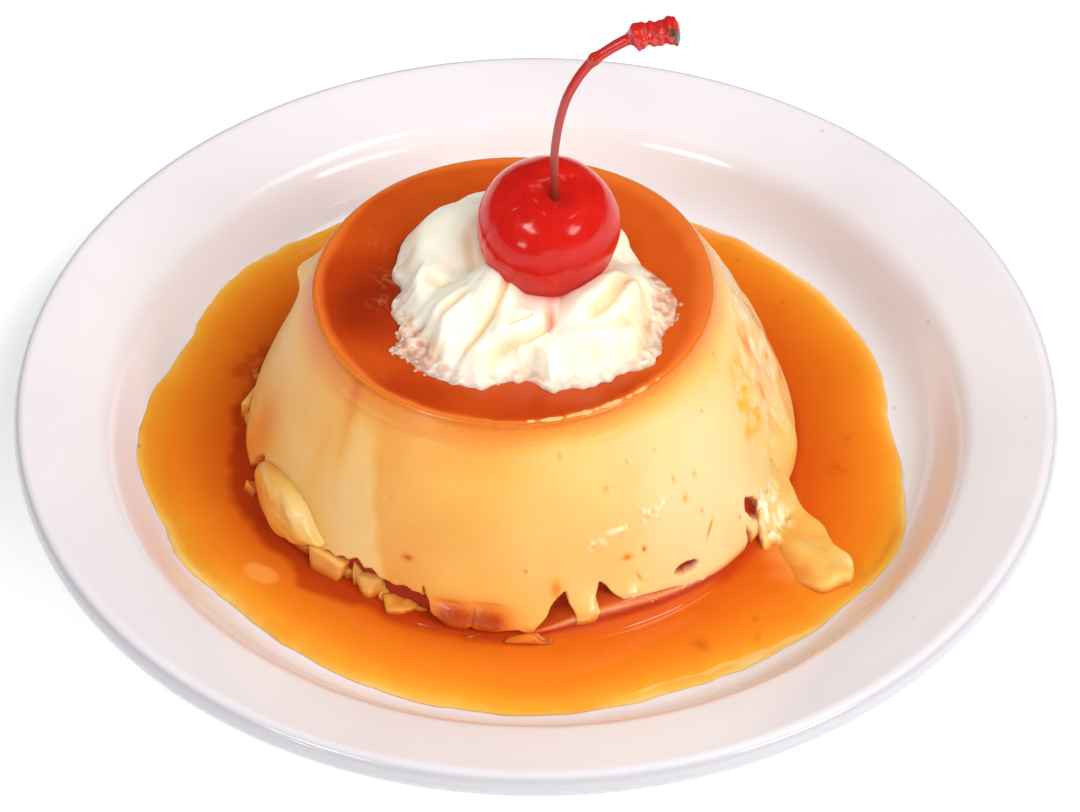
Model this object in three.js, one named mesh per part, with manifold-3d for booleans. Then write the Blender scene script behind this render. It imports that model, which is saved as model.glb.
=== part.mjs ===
// A turned-out caramel custard in its sauce on a side plate, topped with whipped cream and a cherry.
// Millimetres, +Z up. The origin is on the table under the centre of the plate's foot ring, the
// viewer's side is -Y, and azimuths are in degrees, counter-clockwise from +X.
import * as THREE from "three";
import { mergeVertices } from "three/addons/utils/BufferGeometryUtils.js";
import Module from "manifold-3d";

// ---- driving dimensions ----
const GAP = 0.3; // clearance between neighbouring solids
const PLATE = { radius: 82.5, wellZ: 5.5, wellRadius: 58, footRadius: 52, sides: 64 };
const SAUCE = { depth: 1.8, edgeDepth: 0.85, radius: 59.2, sides: 80 };
const FLAN = {
  base: [-2.4, -1.4], baseRadius: 44.8, bottomZ: PLATE.wellZ + GAP,
  top: [-3.7, -0.9], topRadius: 30.6, topZ: 39.2, bulge: 1.34,
  undercut: 1.9, undercutHeight: 2.4, sides: 72,
};
const CARAMEL = { thickness: 1.7, rimRounding: 1.3, dish: 1.0 };
const CREAM = { centre: [-1.2, -3.2], radius: 22.0, height: 8.4, folds: 8, sides: 52 };
const CHERRY = { centre: [1.7, -1.9, 51.5], radius: 11.0, height: 20.6, dimple: 2.6, tilt: [0.13, -0.34, 0.93] };
const STEM = { radius: 0.6, endRadius: 0.95, knobRadius: 1.9, knobLength: 7.2 };

const TAU = Math.PI * 2;
const { degToRad } = THREE.MathUtils;
const wasm = await Module();
wasm.setup();

// ---- small helpers ----
// A smooth hump of height 1 at an azimuth, falling off over `width` degrees on either side.
function hump(azimuth, centre, width) {
  const off = ((azimuth - centre + 540) % 360) - 180;
  return Math.exp(-((off / width) ** 2));
}

// The sum of humps [centre, width, amount] at an azimuth.
const humps = (azimuth, list) =>
  list.reduce((sum, [centre, width, amount]) => sum + amount * hump(azimuth, centre, width), 0);

// A value read off a profile [[position, value], ...] by straight lines between its points.
function along(profile, position) {
  let i = 1;
  while (i < profile.length - 1 && profile[i][0] < position) i += 1;
  const [[p0, v0], [p1, v1]] = [profile[i - 1], profile[i]];
  return v0 + (v1 - v0) * THREE.MathUtils.clamp((position - p0) / (p1 - p0), 0, 1);
}

// Indexed triangles as a geometry.
function geometryOf(points, triangles) {
  const geometry = new THREE.BufferGeometry();
  geometry.setAttribute("position", new THREE.Float32BufferAttribute(points.flat(), 3));
  geometry.setIndex(triangles);
  return geometry;
}

// A closed body from rings of points, each counter-clockwise about the way the rings advance,
// shut by one point before the first ring and one after the last.
function ringSolid(first, rings, last) {
  const n = rings[0].length;
  const points = [first, ...rings.flat(), last];
  const at = (ring, i) => 1 + ring * n + (i % n);
  const triangles = [];
  for (let i = 0; i < n; i += 1) {
    triangles.push(0, at(0, i + 1), at(0, i));
    triangles.push(points.length - 1, at(rings.length - 1, i), at(rings.length - 1, i + 1));
    for (let ring = 0; ring + 1 < rings.length; ring += 1) {
      const [a, b, c, d] = [at(ring, i), at(ring, i + 1), at(ring + 1, i + 1), at(ring + 1, i)];
      triangles.push(a, b, c, a, c, d);
    }
  }
  return geometryOf(points, triangles);
}

// A closed ring-shaped body from a closed section at each azimuth, which runs outwards along its
// foot and back inwards along its top.
function hoopSolid(sections) {
  const [n, m] = [sections.length, sections[0].length];
  const at = (section, i) => (section % n) * m + (i % m);
  const triangles = [];
  for (let s = 0; s < n; s += 1)
    for (let i = 0; i < m; i += 1) {
      const [a, b, c, d] = [at(s, i), at(s + 1, i), at(s + 1, i + 1), at(s, i + 1)];
      triangles.push(a, b, c, a, c, d);
    }
  return geometryOf(sections.flat(), triangles);
}

// A ring of `sides` points whose place is given by a function of the azimuth in degrees.
const ring = (sides, place) => Array.from({ length: sides }, (_, i) => place((360 * i) / sides));

// A point at a radius and azimuth about a centre.
const polar = ([x, y], radius, azimuth, z) =>
  [x + radius * Math.cos(degToRad(azimuth)), y + radius * Math.sin(degToRad(azimuth)), z];

function toSolid(geometry) {
  const bare = geometry.clone();
  bare.deleteAttribute("normal");
  bare.deleteAttribute("uv");
  const merged = mergeVertices(bare, 1e-4);
  return new wasm.Manifold(new wasm.Mesh({
    numProp: 3,
    vertProperties: merged.attributes.position.array,
    triVerts: new Uint32Array(merged.index.array),
  }));
}

function toGeometry(solid) {
  const mesh = solid.getMesh();
  const geometry = new THREE.BufferGeometry();
  geometry.setAttribute("position", new THREE.BufferAttribute(mesh.vertProperties, 3));
  geometry.setIndex(new THREE.BufferAttribute(mesh.triVerts, 1));
  return geometry;
}

function named(name, geometry, color, roughness) {
  geometry.computeVertexNormals();
  const mesh = new THREE.Mesh(geometry, new THREE.MeshStandardMaterial({ color, roughness, metalness: 0 }));
  mesh.name = name;
  return mesh;
}

// ---- plate: a rolled-edge rim, a shoulder, a steep cove and a flat well on a foot ring ----
// Upper face as [radius, height above the well], from the well out to the top of the rolled edge.
const PLATE_FACE = [
  [0, 0], [52, 0], [PLATE.wellRadius, 0.15], [60.5, 0.7], [62.2, 1.6], [64, 3.3], [65.8, 5.9],
  [67.4, 8.4], [69, 10.0], [71, 10.9], [74.5, 12.4], [78, 13.9], [80.3, 14.6],
];
const plateTop = (radius) => PLATE.wellZ + along(PLATE_FACE, radius);

function plate() {
  const { radius, wellZ, footRadius, sides } = PLATE;
  const under = [
    [0, 1.9], [footRadius - 2.2, 1.9], [footRadius - 1.4, 0], [footRadius + 1.4, 0],
    [footRadius + 2.3, 2.0], [58, 2.6], [62.5, 5.0], [66.5, 9.4], [70, 12.0], [76, 14.4], [80.6, 15.5],
  ];
  const edge = [[81.9, 16.1], [radius, 17.4], [radius, 18.7], [81.7, 19.7]];
  const face = PLATE_FACE.map(([r, h]) => [r, wellZ + h]).reverse();
  const outline = [...under, ...edge, ...face].map(([r, z]) => new THREE.Vector2(r, z));
  return new THREE.LatheGeometry(outline, sides).rotateX(Math.PI / 2);
}

// ---- custard: a turned-out cup shape, wider and a little undercut at its foot ----
// Uneven places on the wall: [azimuth, width, height, width in height, amount].
const WALL_LUMPS = [
  [36, 22, 30, 8, 1.2], [18, 9, 23, 5, 0.9], [2, 7, 26, 4, 0.5], [48, 8, 20, 5, 0.5], [0, 26, 15, 7, 0.5],
  [50, 26, 39, 4, 0.5], [157, 18, 26, 9, -1.0], [160, 5, 31.5, 2.8, 2.0], [-172, 6, 13, 4, 0.5],
  [-128, 36, 6.5, 4.2, -2.1], [-96, 12, 9, 2.5, 0.4],
];

const flanPart = (z) => THREE.MathUtils.clamp((z - FLAN.bottomZ) / (FLAN.topZ - FLAN.bottomZ), 0, 1);
const flanCentre = (z) => FLAN.base.map((v, i) => v + (FLAN.top[i] - v) * flanPart(z));

function flanRadius(azimuth, z) {
  const { baseRadius, topRadius, bulge, undercut, undercutHeight, bottomZ } = FLAN;
  const lumps = WALL_LUMPS.reduce(
    (sum, [az, width, height, spread, amount]) =>
      sum + amount * hump(azimuth, az, width) * Math.exp(-(((z - height) / spread) ** 2)), 0);
  return baseRadius - (baseRadius - topRadius) * flanPart(z) ** bulge
    - undercut * Math.exp(-(((z - bottomZ) / undercutHeight) ** 2)) + lumps;
}

const flanWall = (azimuth, z, out = 0) => polar(flanCentre(z), flanRadius(azimuth, z) + out, azimuth, z);
const custardTopZ = FLAN.topZ - CARAMEL.thickness;

// The custard body, or the same body grown on all sides by `grow`.
function custardBody(grow = 0) {
  const levels = [5.8, 6.6, 7.6, 8.8, 10.5, 13, 16.5, 20.5, 24.5, 28.5, 32, custardTopZ];
  const rings = levels.map((z, i) => {
    const lift = i === 0 ? -grow : i === levels.length - 1 ? grow : 0;
    return ring(FLAN.sides, (az) => {
      const [x, y] = flanWall(az, z, grow);
      return [x, y, z + lift];
    });
  });
  const [bx, by] = FLAN.base;
  const [tx, ty] = flanCentre(custardTopZ);
  return ringSolid([bx, by, FLAN.bottomZ - grow], rings, [tx, ty, custardTopZ - CARAMEL.dish + grow]);
}

// A low stone-like lump: a plan outline about its middle, a flat foot and a rounded, uneven top.
// `place` turns its own [u, v, w] into part coordinates.
function pebble(outline, height, place, grow = 0) {
  const closed = new THREE.CatmullRomCurve3(outline.map(([u, v]) => new THREE.Vector3(u, v, 0)), true, "centripetal");
  const plan = closed.getSpacedPoints(Math.round(outline.length * 1.6)).slice(0, -1);
  if (THREE.ShapeUtils.isClockWise(plan)) plan.reverse();
  const middle = plan.reduce((sum, p) => sum.add(p), new THREE.Vector3()).divideScalar(plan.length);
  const level = (share, lift) => plan.map((p) => {
    const out = p.clone().sub(middle);
    out.setLength(out.length() * share + grow);
    const [u, v] = [middle.x + out.x, middle.y + out.y];
    return place([u, v, lift === 0 ? -grow : height(u, v) * lift + grow]);
  });
  const top = place([middle.x, middle.y, height(middle.x, middle.y) + grow]);
  const foot = place([middle.x, middle.y, -grow]);
  return ringSolid(foot, [level(0.9, 0), level(1, 0.45), level(0.93, 0.82), level(0.62, 1)], top);
}

// Broken bits of custard fused to the foot: [azimuth, radius, length round, length out, height].
const CRUMBS = [
  [-134.5, 41.2, 6.4, 4.6, 4.6], [-125.5, 40.9, 3.8, 3.8, 3.6], [-115.3, 41.2, 5.0, 3.4, 2.9],
  [-101, 41.0, 4.2, 3.2, 3.1], [-94, 41.4, 3.6, 3.0, 3.0], [-87.6, 42.8, 4.6, 2.6, 2.2],
  [172, 44.0, 6.5, 3.6, 3.4],
];

function crumbs(grow = 0) {
  return CRUMBS.map(([azimuth, radius, long, wide, high], i) => {
    const sides = 7;
    const outline = Array.from({ length: sides }, (_, k) => {
      const uneven = 1 + 0.16 * Math.sin(2.7 * k + 1.9 * i);
      return [0.5 * long * uneven * Math.cos((TAU * k) / sides), 0.5 * wide * uneven * Math.sin((TAU * k) / sides)];
    });
    const turn = degToRad(azimuth - 90);
    const [x, y] = polar(FLAN.base, radius, azimuth, 0);
    return pebble(outline, (u, v) => high * (1 - 0.12 * Math.sin(1.1 * u + i) - 0.1 * v), ([u, v, w]) => [
      x + u * Math.cos(turn) - v * Math.sin(turn), y + u * Math.sin(turn) + v * Math.cos(turn),
      FLAN.bottomZ + w,
    ], grow);
  });
}

// Torn places at the foot, each a wedge pointing up: [azimuth, half width, bottom, top, depth].
const NOTCHES = [
  [-80.3, 2.6, 5, 12.0, 3.2], [-69.6, 2.2, 5, 10.2, 2.8], [-49.4, 1.7, 8.4, 10.6, 2.2],
  [-110.2, 1.1, 5, 11.4, 2.6], [-120.4, 1.9, 5, 10.8, 2.8], [-129.3, 1.5, 5, 10.9, 2.6],
  [-141.2, 1.9, 5, 11.5, 3.0], [-167, 3.4, 5, 12.6, 3.4], [-25, 2.0, 6, 13.0, 2.6],
];

function notches() {
  return NOTCHES.map(([azimuth, half, low, high, depth]) => {
    const r = FLAN.baseRadius;
    const side = (half * 180) / (Math.PI * r);
    const corner = (az, radius, z) => polar(FLAN.base, radius, az, z);
    const mouth = [
      corner(azimuth - 1.5 * side, r + 2, low), corner(azimuth + 1.5 * side, r + 2, low),
      corner(azimuth + 0.5 * side, r + 2, high + 1.5), corner(azimuth - 0.3 * side, r + 2, high + 1.5),
    ];
    const back = [
      corner(azimuth - 0.8 * side, r - depth, low), corner(azimuth + 0.8 * side, r - depth, low),
      corner(azimuth + 0.3 * side, r - depth, (low + high) / 2), corner(azimuth - 0.2 * side, r - depth, (low + high) / 2),
    ];
    const mean = (list) => [0, 1, 2].map((k) => list.reduce((sum, p) => sum + p[k], 0) / list.length);
    return ringSolid(mean(back), [back, mouth], mean(mouth));
  });
}

// ---- torn custard: a flap of skin pulled off the wall, lying out over the sauce ----
const TORN_OUTLINE = [
  [37.4, -14.2], [40.6, -15.0], [41.2, -18.8], [44.4, -22.8], [46.4, -28.0], [48.9, -31.0],
  [47.8, -34.4], [43.6, -35.4], [40.2, -31.8], [36.2, -31.2], [34.6, -27.0], [31.6, -22.6],
];

function tornCustard(grow = 0) {
  const [cx, cy] = FLAN.base;
  // It climbs from a flat tongue to a crag against the wall, with a raised tip.
  const height = (x, y) => {
    const out = Math.hypot(x - cx, y - cy);
    const climb = THREE.MathUtils.smoothstep(48 - out, 0, 6.5);
    const tip = Math.exp(-(((x - 46.5) ** 2 + (y + 33) ** 2) / 9));
    return 2.5 + 7.8 * climb + 0.9 * tip + 0.5 * Math.sin(1.3 * x + 0.9 * y);
  };
  return pebble(TORN_OUTLINE, height, ([x, y, w]) => [x, y, plateTop(Math.hypot(x, y)) + GAP + w], grow);
}

// ---- custard flake: a thin peeled flap on the wall, its own u along the wall and v up it ----
const FLAKE = { azimuth: -147.2, foot: 6.9, thickness: 1.9 };
const FLAKE_OUTLINE = [
  [-9.6, 7.6], [-8.2, 5.0], [-4.2, 2.0], [0.6, 1.0], [5.2, 1.6], [8.6, 3.8],
  [8.9, 6.6], [5.6, 9.6], [1.2, 11.0], [-3.4, 10.6], [-7.2, 9.4],
];

function custardFlake(grow = 0) {
  const onWall = ([u, v, w]) =>
    flanWall(FLAKE.azimuth + (u * 180) / (Math.PI * 43.5), FLAKE.foot + v, GAP + 0.1 + w);
  return pebble(FLAKE_OUTLINE, (u, v) => FLAKE.thickness * (0.75 + 0.035 * v), onWall, grow);
}

// ---- caramel sauce: a pool with rounded edges, thick by the custard and thin at its edge ----
const SAUCE_EDGE = [
  [140, 30, 3.0], [148, 10, 1.0], [-173, 19, 4.6], [-150, 6, 1.2], [-25, 11, 3.1], [2, 9, -1.4], [-60, 14, 0.8],
];

function sauce() {
  const { depth, edgeDepth, radius, sides } = SAUCE;
  const inner = FLAN.baseRadius - 6;
  // The level climbs a little against the custard's foot and falls towards the pool's edge.
  const top = (r, share, azimuth) => {
    const [x, y] = polar([0, 0], r, azimuth);
    const off = Math.max(0, Math.hypot(x - FLAN.base[0], y - FLAN.base[1]) - FLAN.baseRadius + 1);
    const level = PLATE.wellZ + depth + 0.6 * Math.exp(-off / 1.5) - 0.55 * share ** 3;
    return Math.max(level, plateTop(r) + edgeDepth);
  };
  const sections = ring(sides, (azimuth) => {
    const edge = radius + humps(azimuth, SAUCE_EDGE);
    // Share of the way out from the custard to the edge.
    const floor = [0, 0.5, 0.8, 0.9, 0.985].map((share) => {
      const r = inner + (edge - inner) * share;
      return [r, plateTop(r) + GAP + 0.1];
    });
    const lip = [[edge, top(edge, 1, azimuth) - 0.3]];
    const face = [0.985, 0.94, 0.86, 0.7, 0.4, 0].map((share) => {
      const r = inner + (edge - inner) * share;
      return [r, top(r, share, azimuth)];
    });
    return [...floor, ...lip, ...face].map(([r, z]) => polar([0, 0], r, azimuth, z));
  });
  let solid = toSolid(hoopSolid(sections));
  for (const cutter of [custardBody(GAP + 0.1), ...crumbs(GAP + 0.2), tornCustard(GAP + 0.35), custardFlake(GAP + 0.2)])
    solid = solid.subtract(toSolid(cutter));
  return toGeometry(largest(solid));
}

// The largest separate body of a solid, so that no loose scrap of a cut stays in it.
const largest = (solid) =>
  solid.decompose().reduce((best, body) => (body.volume() > best.volume() ? body : best));

// ---- caramel top: the cap of set caramel, its rim rounded over and its middle dished ----
const capDish = (share) => FLAN.topZ - CARAMEL.dish * (1 - share ** 2) * 1.15;

function caramelTop() {
  const { rimRounding, dish, thickness } = CARAMEL;
  const under = FLAN.topZ - thickness + GAP;
  const centre = flanCentre(FLAN.topZ);
  const rings = [ring(FLAN.sides, (az) => flanWall(az, under, -0.25)), ring(FLAN.sides, (az) => flanWall(az, under + 0.4, 0))];
  // The rim is a quarter round from the wall over to the crest.
  for (const turn of [0, 30, 60, 90].map(degToRad)) {
    rings.push(ring(FLAN.sides, (az) => {
      const z = FLAN.topZ - rimRounding * 0.8 * (1 - Math.sin(turn));
      return polar(centre, flanRadius(az, z) - rimRounding * (1 - Math.cos(turn)), az, z);
    }));
  }
  for (const share of [0.86, 0.7, 0.4])
    rings.push(ring(FLAN.sides, (az) => polar(centre, FLAN.topRadius * share, az, capDish(share))));
  const [x, y] = centre;
  return ringSolid([x, y, under - dish], rings, [x, y, capDish(0)]);
}

// ---- whipped cream: a soft dollop pressed into folds, with a seat for the cherry ----
const CREAM_EDGE = [
  [-50, 22, 1.7], [-10, 14, 1.0], [-135, 20, 1.0], [-96, 10, -1.6], [22, 16, -1.6], [-163, 8, -0.8],
  [155, 24, -2.0], [90, 48, -2.4],
];
// How much taller or lower the dollop is round the cherry.
const CREAM_RISE = [[148, 30, 0.3], [122, 20, 0.3], [45, 34, -0.28], [-60, 24, 0.1]];

function whippedCream() {
  const { centre, radius, height, folds, sides } = CREAM;
  const cap = flanCentre(FLAN.topZ);
  const seat = (x, y) => capDish(Math.hypot(x - cap[0], y - cap[1]) / FLAN.topRadius) + GAP;
  const fold = (az) => Math.cos(degToRad(folds * az + 40 * Math.sin(degToRad(2 * az))));
  // Each level is a share of the edge radius and a share of the height.
  const level = (out, up) => ring(sides, (az) => {
    const wave = 1 + 0.025 * fold(az) * (out > 0.5 ? 1 : 0);
    const r = (radius + humps(az, CREAM_EDGE)) * out * wave;
    const [x, y] = polar(centre, r, az);
    const lift = up * height * (1 + 0.09 * fold(az + 12 * (1 - out)) + humps(az, CREAM_RISE));
    return [x, y, seat(x, y) + lift];
  });
  const profile = [[0.5, 0], [0.93, 0], [0.985, 0.1], [0.97, 0.26], [0.9, 0.48], [0.78, 0.72], [0.62, 0.92], [0.42, 1], [0.2, 0.96]];
  const rings = profile.map(([out, up]) => level(out, up));
  const [x, y] = centre;
  const body = toSolid(ringSolid([x, y, seat(x, y)], rings, [x, y, seat(x, y) + 0.9 * height]));
  return toGeometry(largest(body.subtract(toSolid(cherry(GAP)))));
}

// ---- cherry: slightly flattened, with a dimple that leans towards the viewer ----
const cherryTurn = new THREE.Quaternion().setFromUnitVectors(
  new THREE.Vector3(0, 0, 1), new THREE.Vector3(...CHERRY.tilt).normalize());

function cherry(grow = 0) {
  const { centre, radius, height, dimple } = CHERRY;
  const steps = 14;
  // Half outline from the blossom end over the shoulder down into the dimple.
  const outline = Array.from({ length: steps + 1 }, (_, i) => {
    const t = -Math.PI / 2 + (Math.PI * i) / steps;
    const r = radius * Math.cos(t) ** 0.94;
    const sink = t > 0 ? dimple * Math.exp(-((r / 3.1) ** 2)) : 0;
    const taper = t < 0 ? 0.5 * Math.sin(t) ** 4 : 0;
    return new THREE.Vector2(r + (r > 0.01 ? grow * Math.cos(t) : 0), (height / 2) * Math.sin(t) - sink - taper + grow * Math.sin(t));
  });
  outline[0].x = outline[steps].x = 0;
  return new THREE.LatheGeometry(outline, 30).rotateX(Math.PI / 2)
    .applyQuaternion(cherryTurn).translate(...centre);
}

// ---- stem: rises out of the dimple, bends over and ends in a ridged knob ----
const dimpleFoot = new THREE.Vector3(0, 0, CHERRY.height / 2 - CHERRY.dimple + GAP + 0.25)
  .applyQuaternion(cherryTurn).add(new THREE.Vector3(...CHERRY.centre));
// Further points as steps from the foot of the stem: across, away and up.
const STEM_STEPS = [
  [-0.3, -0.5, 5.2], [-0.2, -0.6, 9.9], [0.6, 0, 15.2], [2.1, 0.7, 19.6], [5.0, 1.4, 23.9],
  [9.9, 2.0, 27.3], [13.6, 2.1, 28.3], [17.2, 2.1, 28.9],
];

function cherryStem() {
  const points = [dimpleFoot, ...STEM_STEPS.map((step) => dimpleFoot.clone().add(new THREE.Vector3(...step)))];
  const curve = new THREE.CatmullRomCurve3(points, false, "centripetal");
  const [stations, sides] = [30, 8];
  const total = curve.getLength();
  const frames = curve.computeFrenetFrames(stations, false);
  const { radius, endRadius, knobRadius, knobLength } = STEM;
  const rings = Array.from({ length: stations + 1 }, (_, i) => {
    const share = i / stations;
    const left = total * (1 - share);
    const knob = left < knobLength ? Math.min(1, (knobLength - left) / 1.6) : 0;
    const ridge = 1 + 0.12 * Math.sin(left * 3.1);
    const thick = radius + (endRadius - radius) * share ** 2 + 0.35 * Math.exp(-(((left - 13) / 0.9) ** 2));
    const middle = curve.getPointAt(share);
    return Array.from({ length: sides }, (_unused, k) => {
      const turn = (TAU * k) / sides;
      const lobes = 1 + knob * 0.1 * Math.cos(3 * turn + left);
      const r = (thick + knob * (knobRadius * ridge - thick)) * lobes;
      return middle.clone()
        .addScaledVector(frames.normals[i], r * Math.cos(turn))
        .addScaledVector(frames.binormals[i], r * Math.sin(turn)).toArray();
    });
  });
  return ringSolid(curve.getPointAt(0).toArray(), rings, curve.getPointAt(1).toArray());
}

// ---- the parts as solids that keep clear of each other ----
function flanCustard() {
  let solid = toSolid(custardBody());
  for (const crumb of crumbs()) solid = solid.add(toSolid(crumb));
  for (const notch of notches()) solid = solid.subtract(toSolid(notch));
  return toGeometry(largest(solid));
}

const clearOfCustard = (geometry) => {
  let solid = toSolid(geometry).subtract(toSolid(custardBody(GAP)));
  for (const crumb of crumbs(GAP + 0.1)) solid = solid.subtract(toSolid(crumb));
  return toGeometry(largest(solid));
};

const dessert = new THREE.Group();
dessert.add(
  named("plate", plate(), 0xf1e9e8, 0.12),
  named("caramel_sauce", sauce(), 0xe8731a, 0.1),
  named("flan_custard", flanCustard(), 0xfadf98, 0.35),
  named("caramel_top", caramelTop(), 0xd6551a, 0.18),
  named("whipped_cream", whippedCream(), 0xfffdf3, 0.45),
  named("cherry", cherry(), 0xe0231c, 0.08),
  named("cherry_stem", cherryStem(), 0xb53a2a, 0.35),
  named("torn_custard", clearOfCustard(tornCustard()), 0xf6c47c, 0.35),
  named("custard_flake", clearOfCustard(custardFlake()), 0xeec083, 0.35),
);

export default dessert;
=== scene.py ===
"""Creme caramel on its plate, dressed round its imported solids.

Metres, +Z up, the viewer's side at -Y. Shapes are worked out in millimetres and azimuths in degrees,
counter-clockwise from +X."""
import bpy
import numpy as np
from mathutils import Matrix, Vector


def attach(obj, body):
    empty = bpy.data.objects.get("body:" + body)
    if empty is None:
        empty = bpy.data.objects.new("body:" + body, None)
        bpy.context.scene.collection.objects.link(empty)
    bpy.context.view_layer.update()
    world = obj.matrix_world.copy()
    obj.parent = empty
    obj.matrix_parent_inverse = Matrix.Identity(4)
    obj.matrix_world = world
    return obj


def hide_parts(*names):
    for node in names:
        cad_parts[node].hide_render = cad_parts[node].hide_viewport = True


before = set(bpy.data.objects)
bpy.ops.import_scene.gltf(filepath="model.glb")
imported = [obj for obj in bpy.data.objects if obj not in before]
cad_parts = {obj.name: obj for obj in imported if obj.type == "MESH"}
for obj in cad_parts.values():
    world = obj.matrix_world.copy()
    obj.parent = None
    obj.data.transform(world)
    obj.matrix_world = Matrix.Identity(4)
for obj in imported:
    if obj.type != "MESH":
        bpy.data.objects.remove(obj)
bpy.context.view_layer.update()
MM = 0.001

# ---- studio ----
# A white table top in a dark room, lit by soft boxes: the brighter ones stand to the viewer's right, weaker
# ones to the left and behind. The camera looks down at the plate from the front.
ELEVATION, ROLL, DISTANCE = np.radians(44.27), np.radians(0.2), 450 * MM
TARGET = Vector((0.58, 6.5, 5.5)) * MM
LIGHTS_AIM = Vector((0, 0, 25)) * MM
scene = bpy.context.scene
scene.view_settings.view_transform = "Standard"


def place(name, data):
    """Puts data in the scene as an object at the origin."""
    thing = bpy.data.objects.new(name, data)
    scene.collection.objects.link(thing)
    return thing


camera = place("camera", bpy.data.cameras.new("camera"))
camera.data.sensor_width, camera.data.lens, camera.data.clip_start = 36, 91.33, 0.01
back = Vector((0, -np.cos(ELEVATION), np.sin(ELEVATION)))
level, upright = Vector((1, 0, 0)), Vector((0, np.sin(ELEVATION), np.cos(ELEVATION)))
axes = level * np.cos(ROLL) + upright * np.sin(ROLL), upright * np.cos(ROLL) - level * np.sin(ROLL), back
camera.matrix_world = Matrix.Translation(TARGET + back * DISTANCE) @ Matrix(axes).transposed().to_4x4()
scene.camera = camera


def softbox(name, azimuth, elevation, distance, width, height, watts, colour=(1, 1, 1), gloss=True):
    """A rectangular light at an azimuth and elevation, turned towards the custard; `gloss` says whether wet
    things mirror it."""
    turn, rise = np.radians(azimuth), np.radians(elevation)
    outward = Vector((np.cos(rise) * np.cos(turn), np.cos(rise) * np.sin(turn), np.sin(rise)))
    light = bpy.data.lights.new(name, "AREA")
    light.shape, light.size, light.size_y = "RECTANGLE", width, height
    light.energy, light.color = watts, colour
    lamp = place(name, light)
    lamp.rotation_euler = outward.to_track_quat("Z", "Y").to_euler()
    lamp.location = LIGHTS_AIM + outward * distance
    lamp.visible_glossy = gloss


softbox("key_light", -60, 46, 1.0, 0.6, 0.5, 5.8, (1.0, 0.99, 0.97), gloss=False)
softbox("low_light", -40, 30, 1.0, 0.36, 0.17, 2.4)
softbox("side_light", 8, 46, 1.1, 0.5, 0.5, 3.5, gloss=False)
softbox("back_light", 150, 45, 1.2, 0.9, 0.7, 2.2, (0.95, 0.98, 1.0), gloss=False)
softbox("left_light", 180, 40, 1.2, 0.9, 0.7, 2.4, (0.98, 0.99, 1.0), gloss=False)
softbox("fill_light", -132, 34, 1.1, 0.34, 0.08, 1.9, (0.98, 0.99, 1.0))
softbox("window_light", -132, 13, 1.2, 0.10, 0.10, 0.5)
softbox("overhead_light", -8, 63, 1.1, 0.34, 0.46, 1.7, (0.86, 0.95, 1.0))

world = bpy.data.worlds.new("studio")
world.use_nodes = True
world.node_tree.nodes["Background"].inputs["Color"].default_value = (1, 1, 1, 1)
world.node_tree.nodes["Background"].inputs["Strength"].default_value = 0.03
scene.world = world


def tint(red, green, blue):
    """Linear light of a colour as it looks on a screen, 0 to 255: each share of 255 has 0.055 added, is
    divided by 1.055 and raised to the power 2.4, or only divided by 12.92 where it is dark."""
    share = np.array([red, green, blue]) / 255
    return (*np.where(share <= 0.04045, share / 12.92, ((share + 0.055) / 1.055) ** 2.4), 1.0)


def add(tree, kind, inputs, **settings):
    """Puts a node in a tree with its settings, and links or sets its inputs: a socket is linked, a name
    stands for the value that the mesh keeps under it, and a number or colour is set."""
    node = tree.nodes.new(kind)
    for name, value in settings.items():
        setattr(node, name, value)
    for name, value in inputs.items():
        if isinstance(value, str):
            value = add(tree, "ShaderNodeAttribute", {}, attribute_name=value).outputs["Fac"]
        if isinstance(value, bpy.types.NodeSocket):
            tree.links.new(value, node.inputs[name])
        else:
            node.inputs[name].default_value = value
    return node


def texture(tree, kind, scale, **sockets):
    """A noise or cell texture in the object's own metres, with so many cells to the metre, as its outputs."""
    where = add(tree, "ShaderNodeTexCoord", {}).outputs["Object"]
    return add(tree, "ShaderNodeTex" + kind, {"Vector": where, "Scale": scale, **sockets}).outputs


def surface_paint(name, **sockets):
    """A material whose Principled BSDF has these socket values, as (material, tree, shader)."""
    material = bpy.data.materials.new(name)
    material.use_nodes = True
    shader = material.node_tree.nodes["Principled BSDF"]
    for socket, value in sockets.items():
        shader.inputs[socket.replace("_", " ")].default_value = value
    return material, material.node_tree, shader


def wire(shader, **sockets):
    """Links values of the shader's tree into its sockets."""
    for socket, value in sockets.items():
        shader.id_data.links.new(value, shader.inputs[socket.replace("_", " ")])


def steps(tree, factor, *stops):
    """A colour ramp through the stops (place, red, green, blue), as its colour output."""
    node = add(tree, "ShaderNodeValToRGB", {"Fac": factor})
    band = node.color_ramp.elements
    while len(band) < len(stops):
        band.new(0.5)
    for element, (position, *colour) in zip(band, stops):
        element.position, element.color = position, tint(*colour)
    return node.outputs["Color"]


floor_mesh = bpy.data.meshes.new("table_top")
floor_mesh.from_pydata([(-4, -4, 0), (4, -4, 0), (4, 4, 0), (-4, 4, 0)], [], [(0, 1, 2, 3)])
floor = place("table_top", floor_mesh)
table_paint, tree, shader = surface_paint("table_paint", Roughness=0.7, Emission_Color=(1, 1, 1, 1),
                                          Emission_Strength=0.27)
grain = texture(tree, "Noise", 30)["Fac"]
wire(shader, Base_Color=steps(tree, grain, (0.3, 247, 247, 247), (0.7, 249.3, 249.3, 249.3)))
floor_mesh.materials.append(table_paint)

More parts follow.
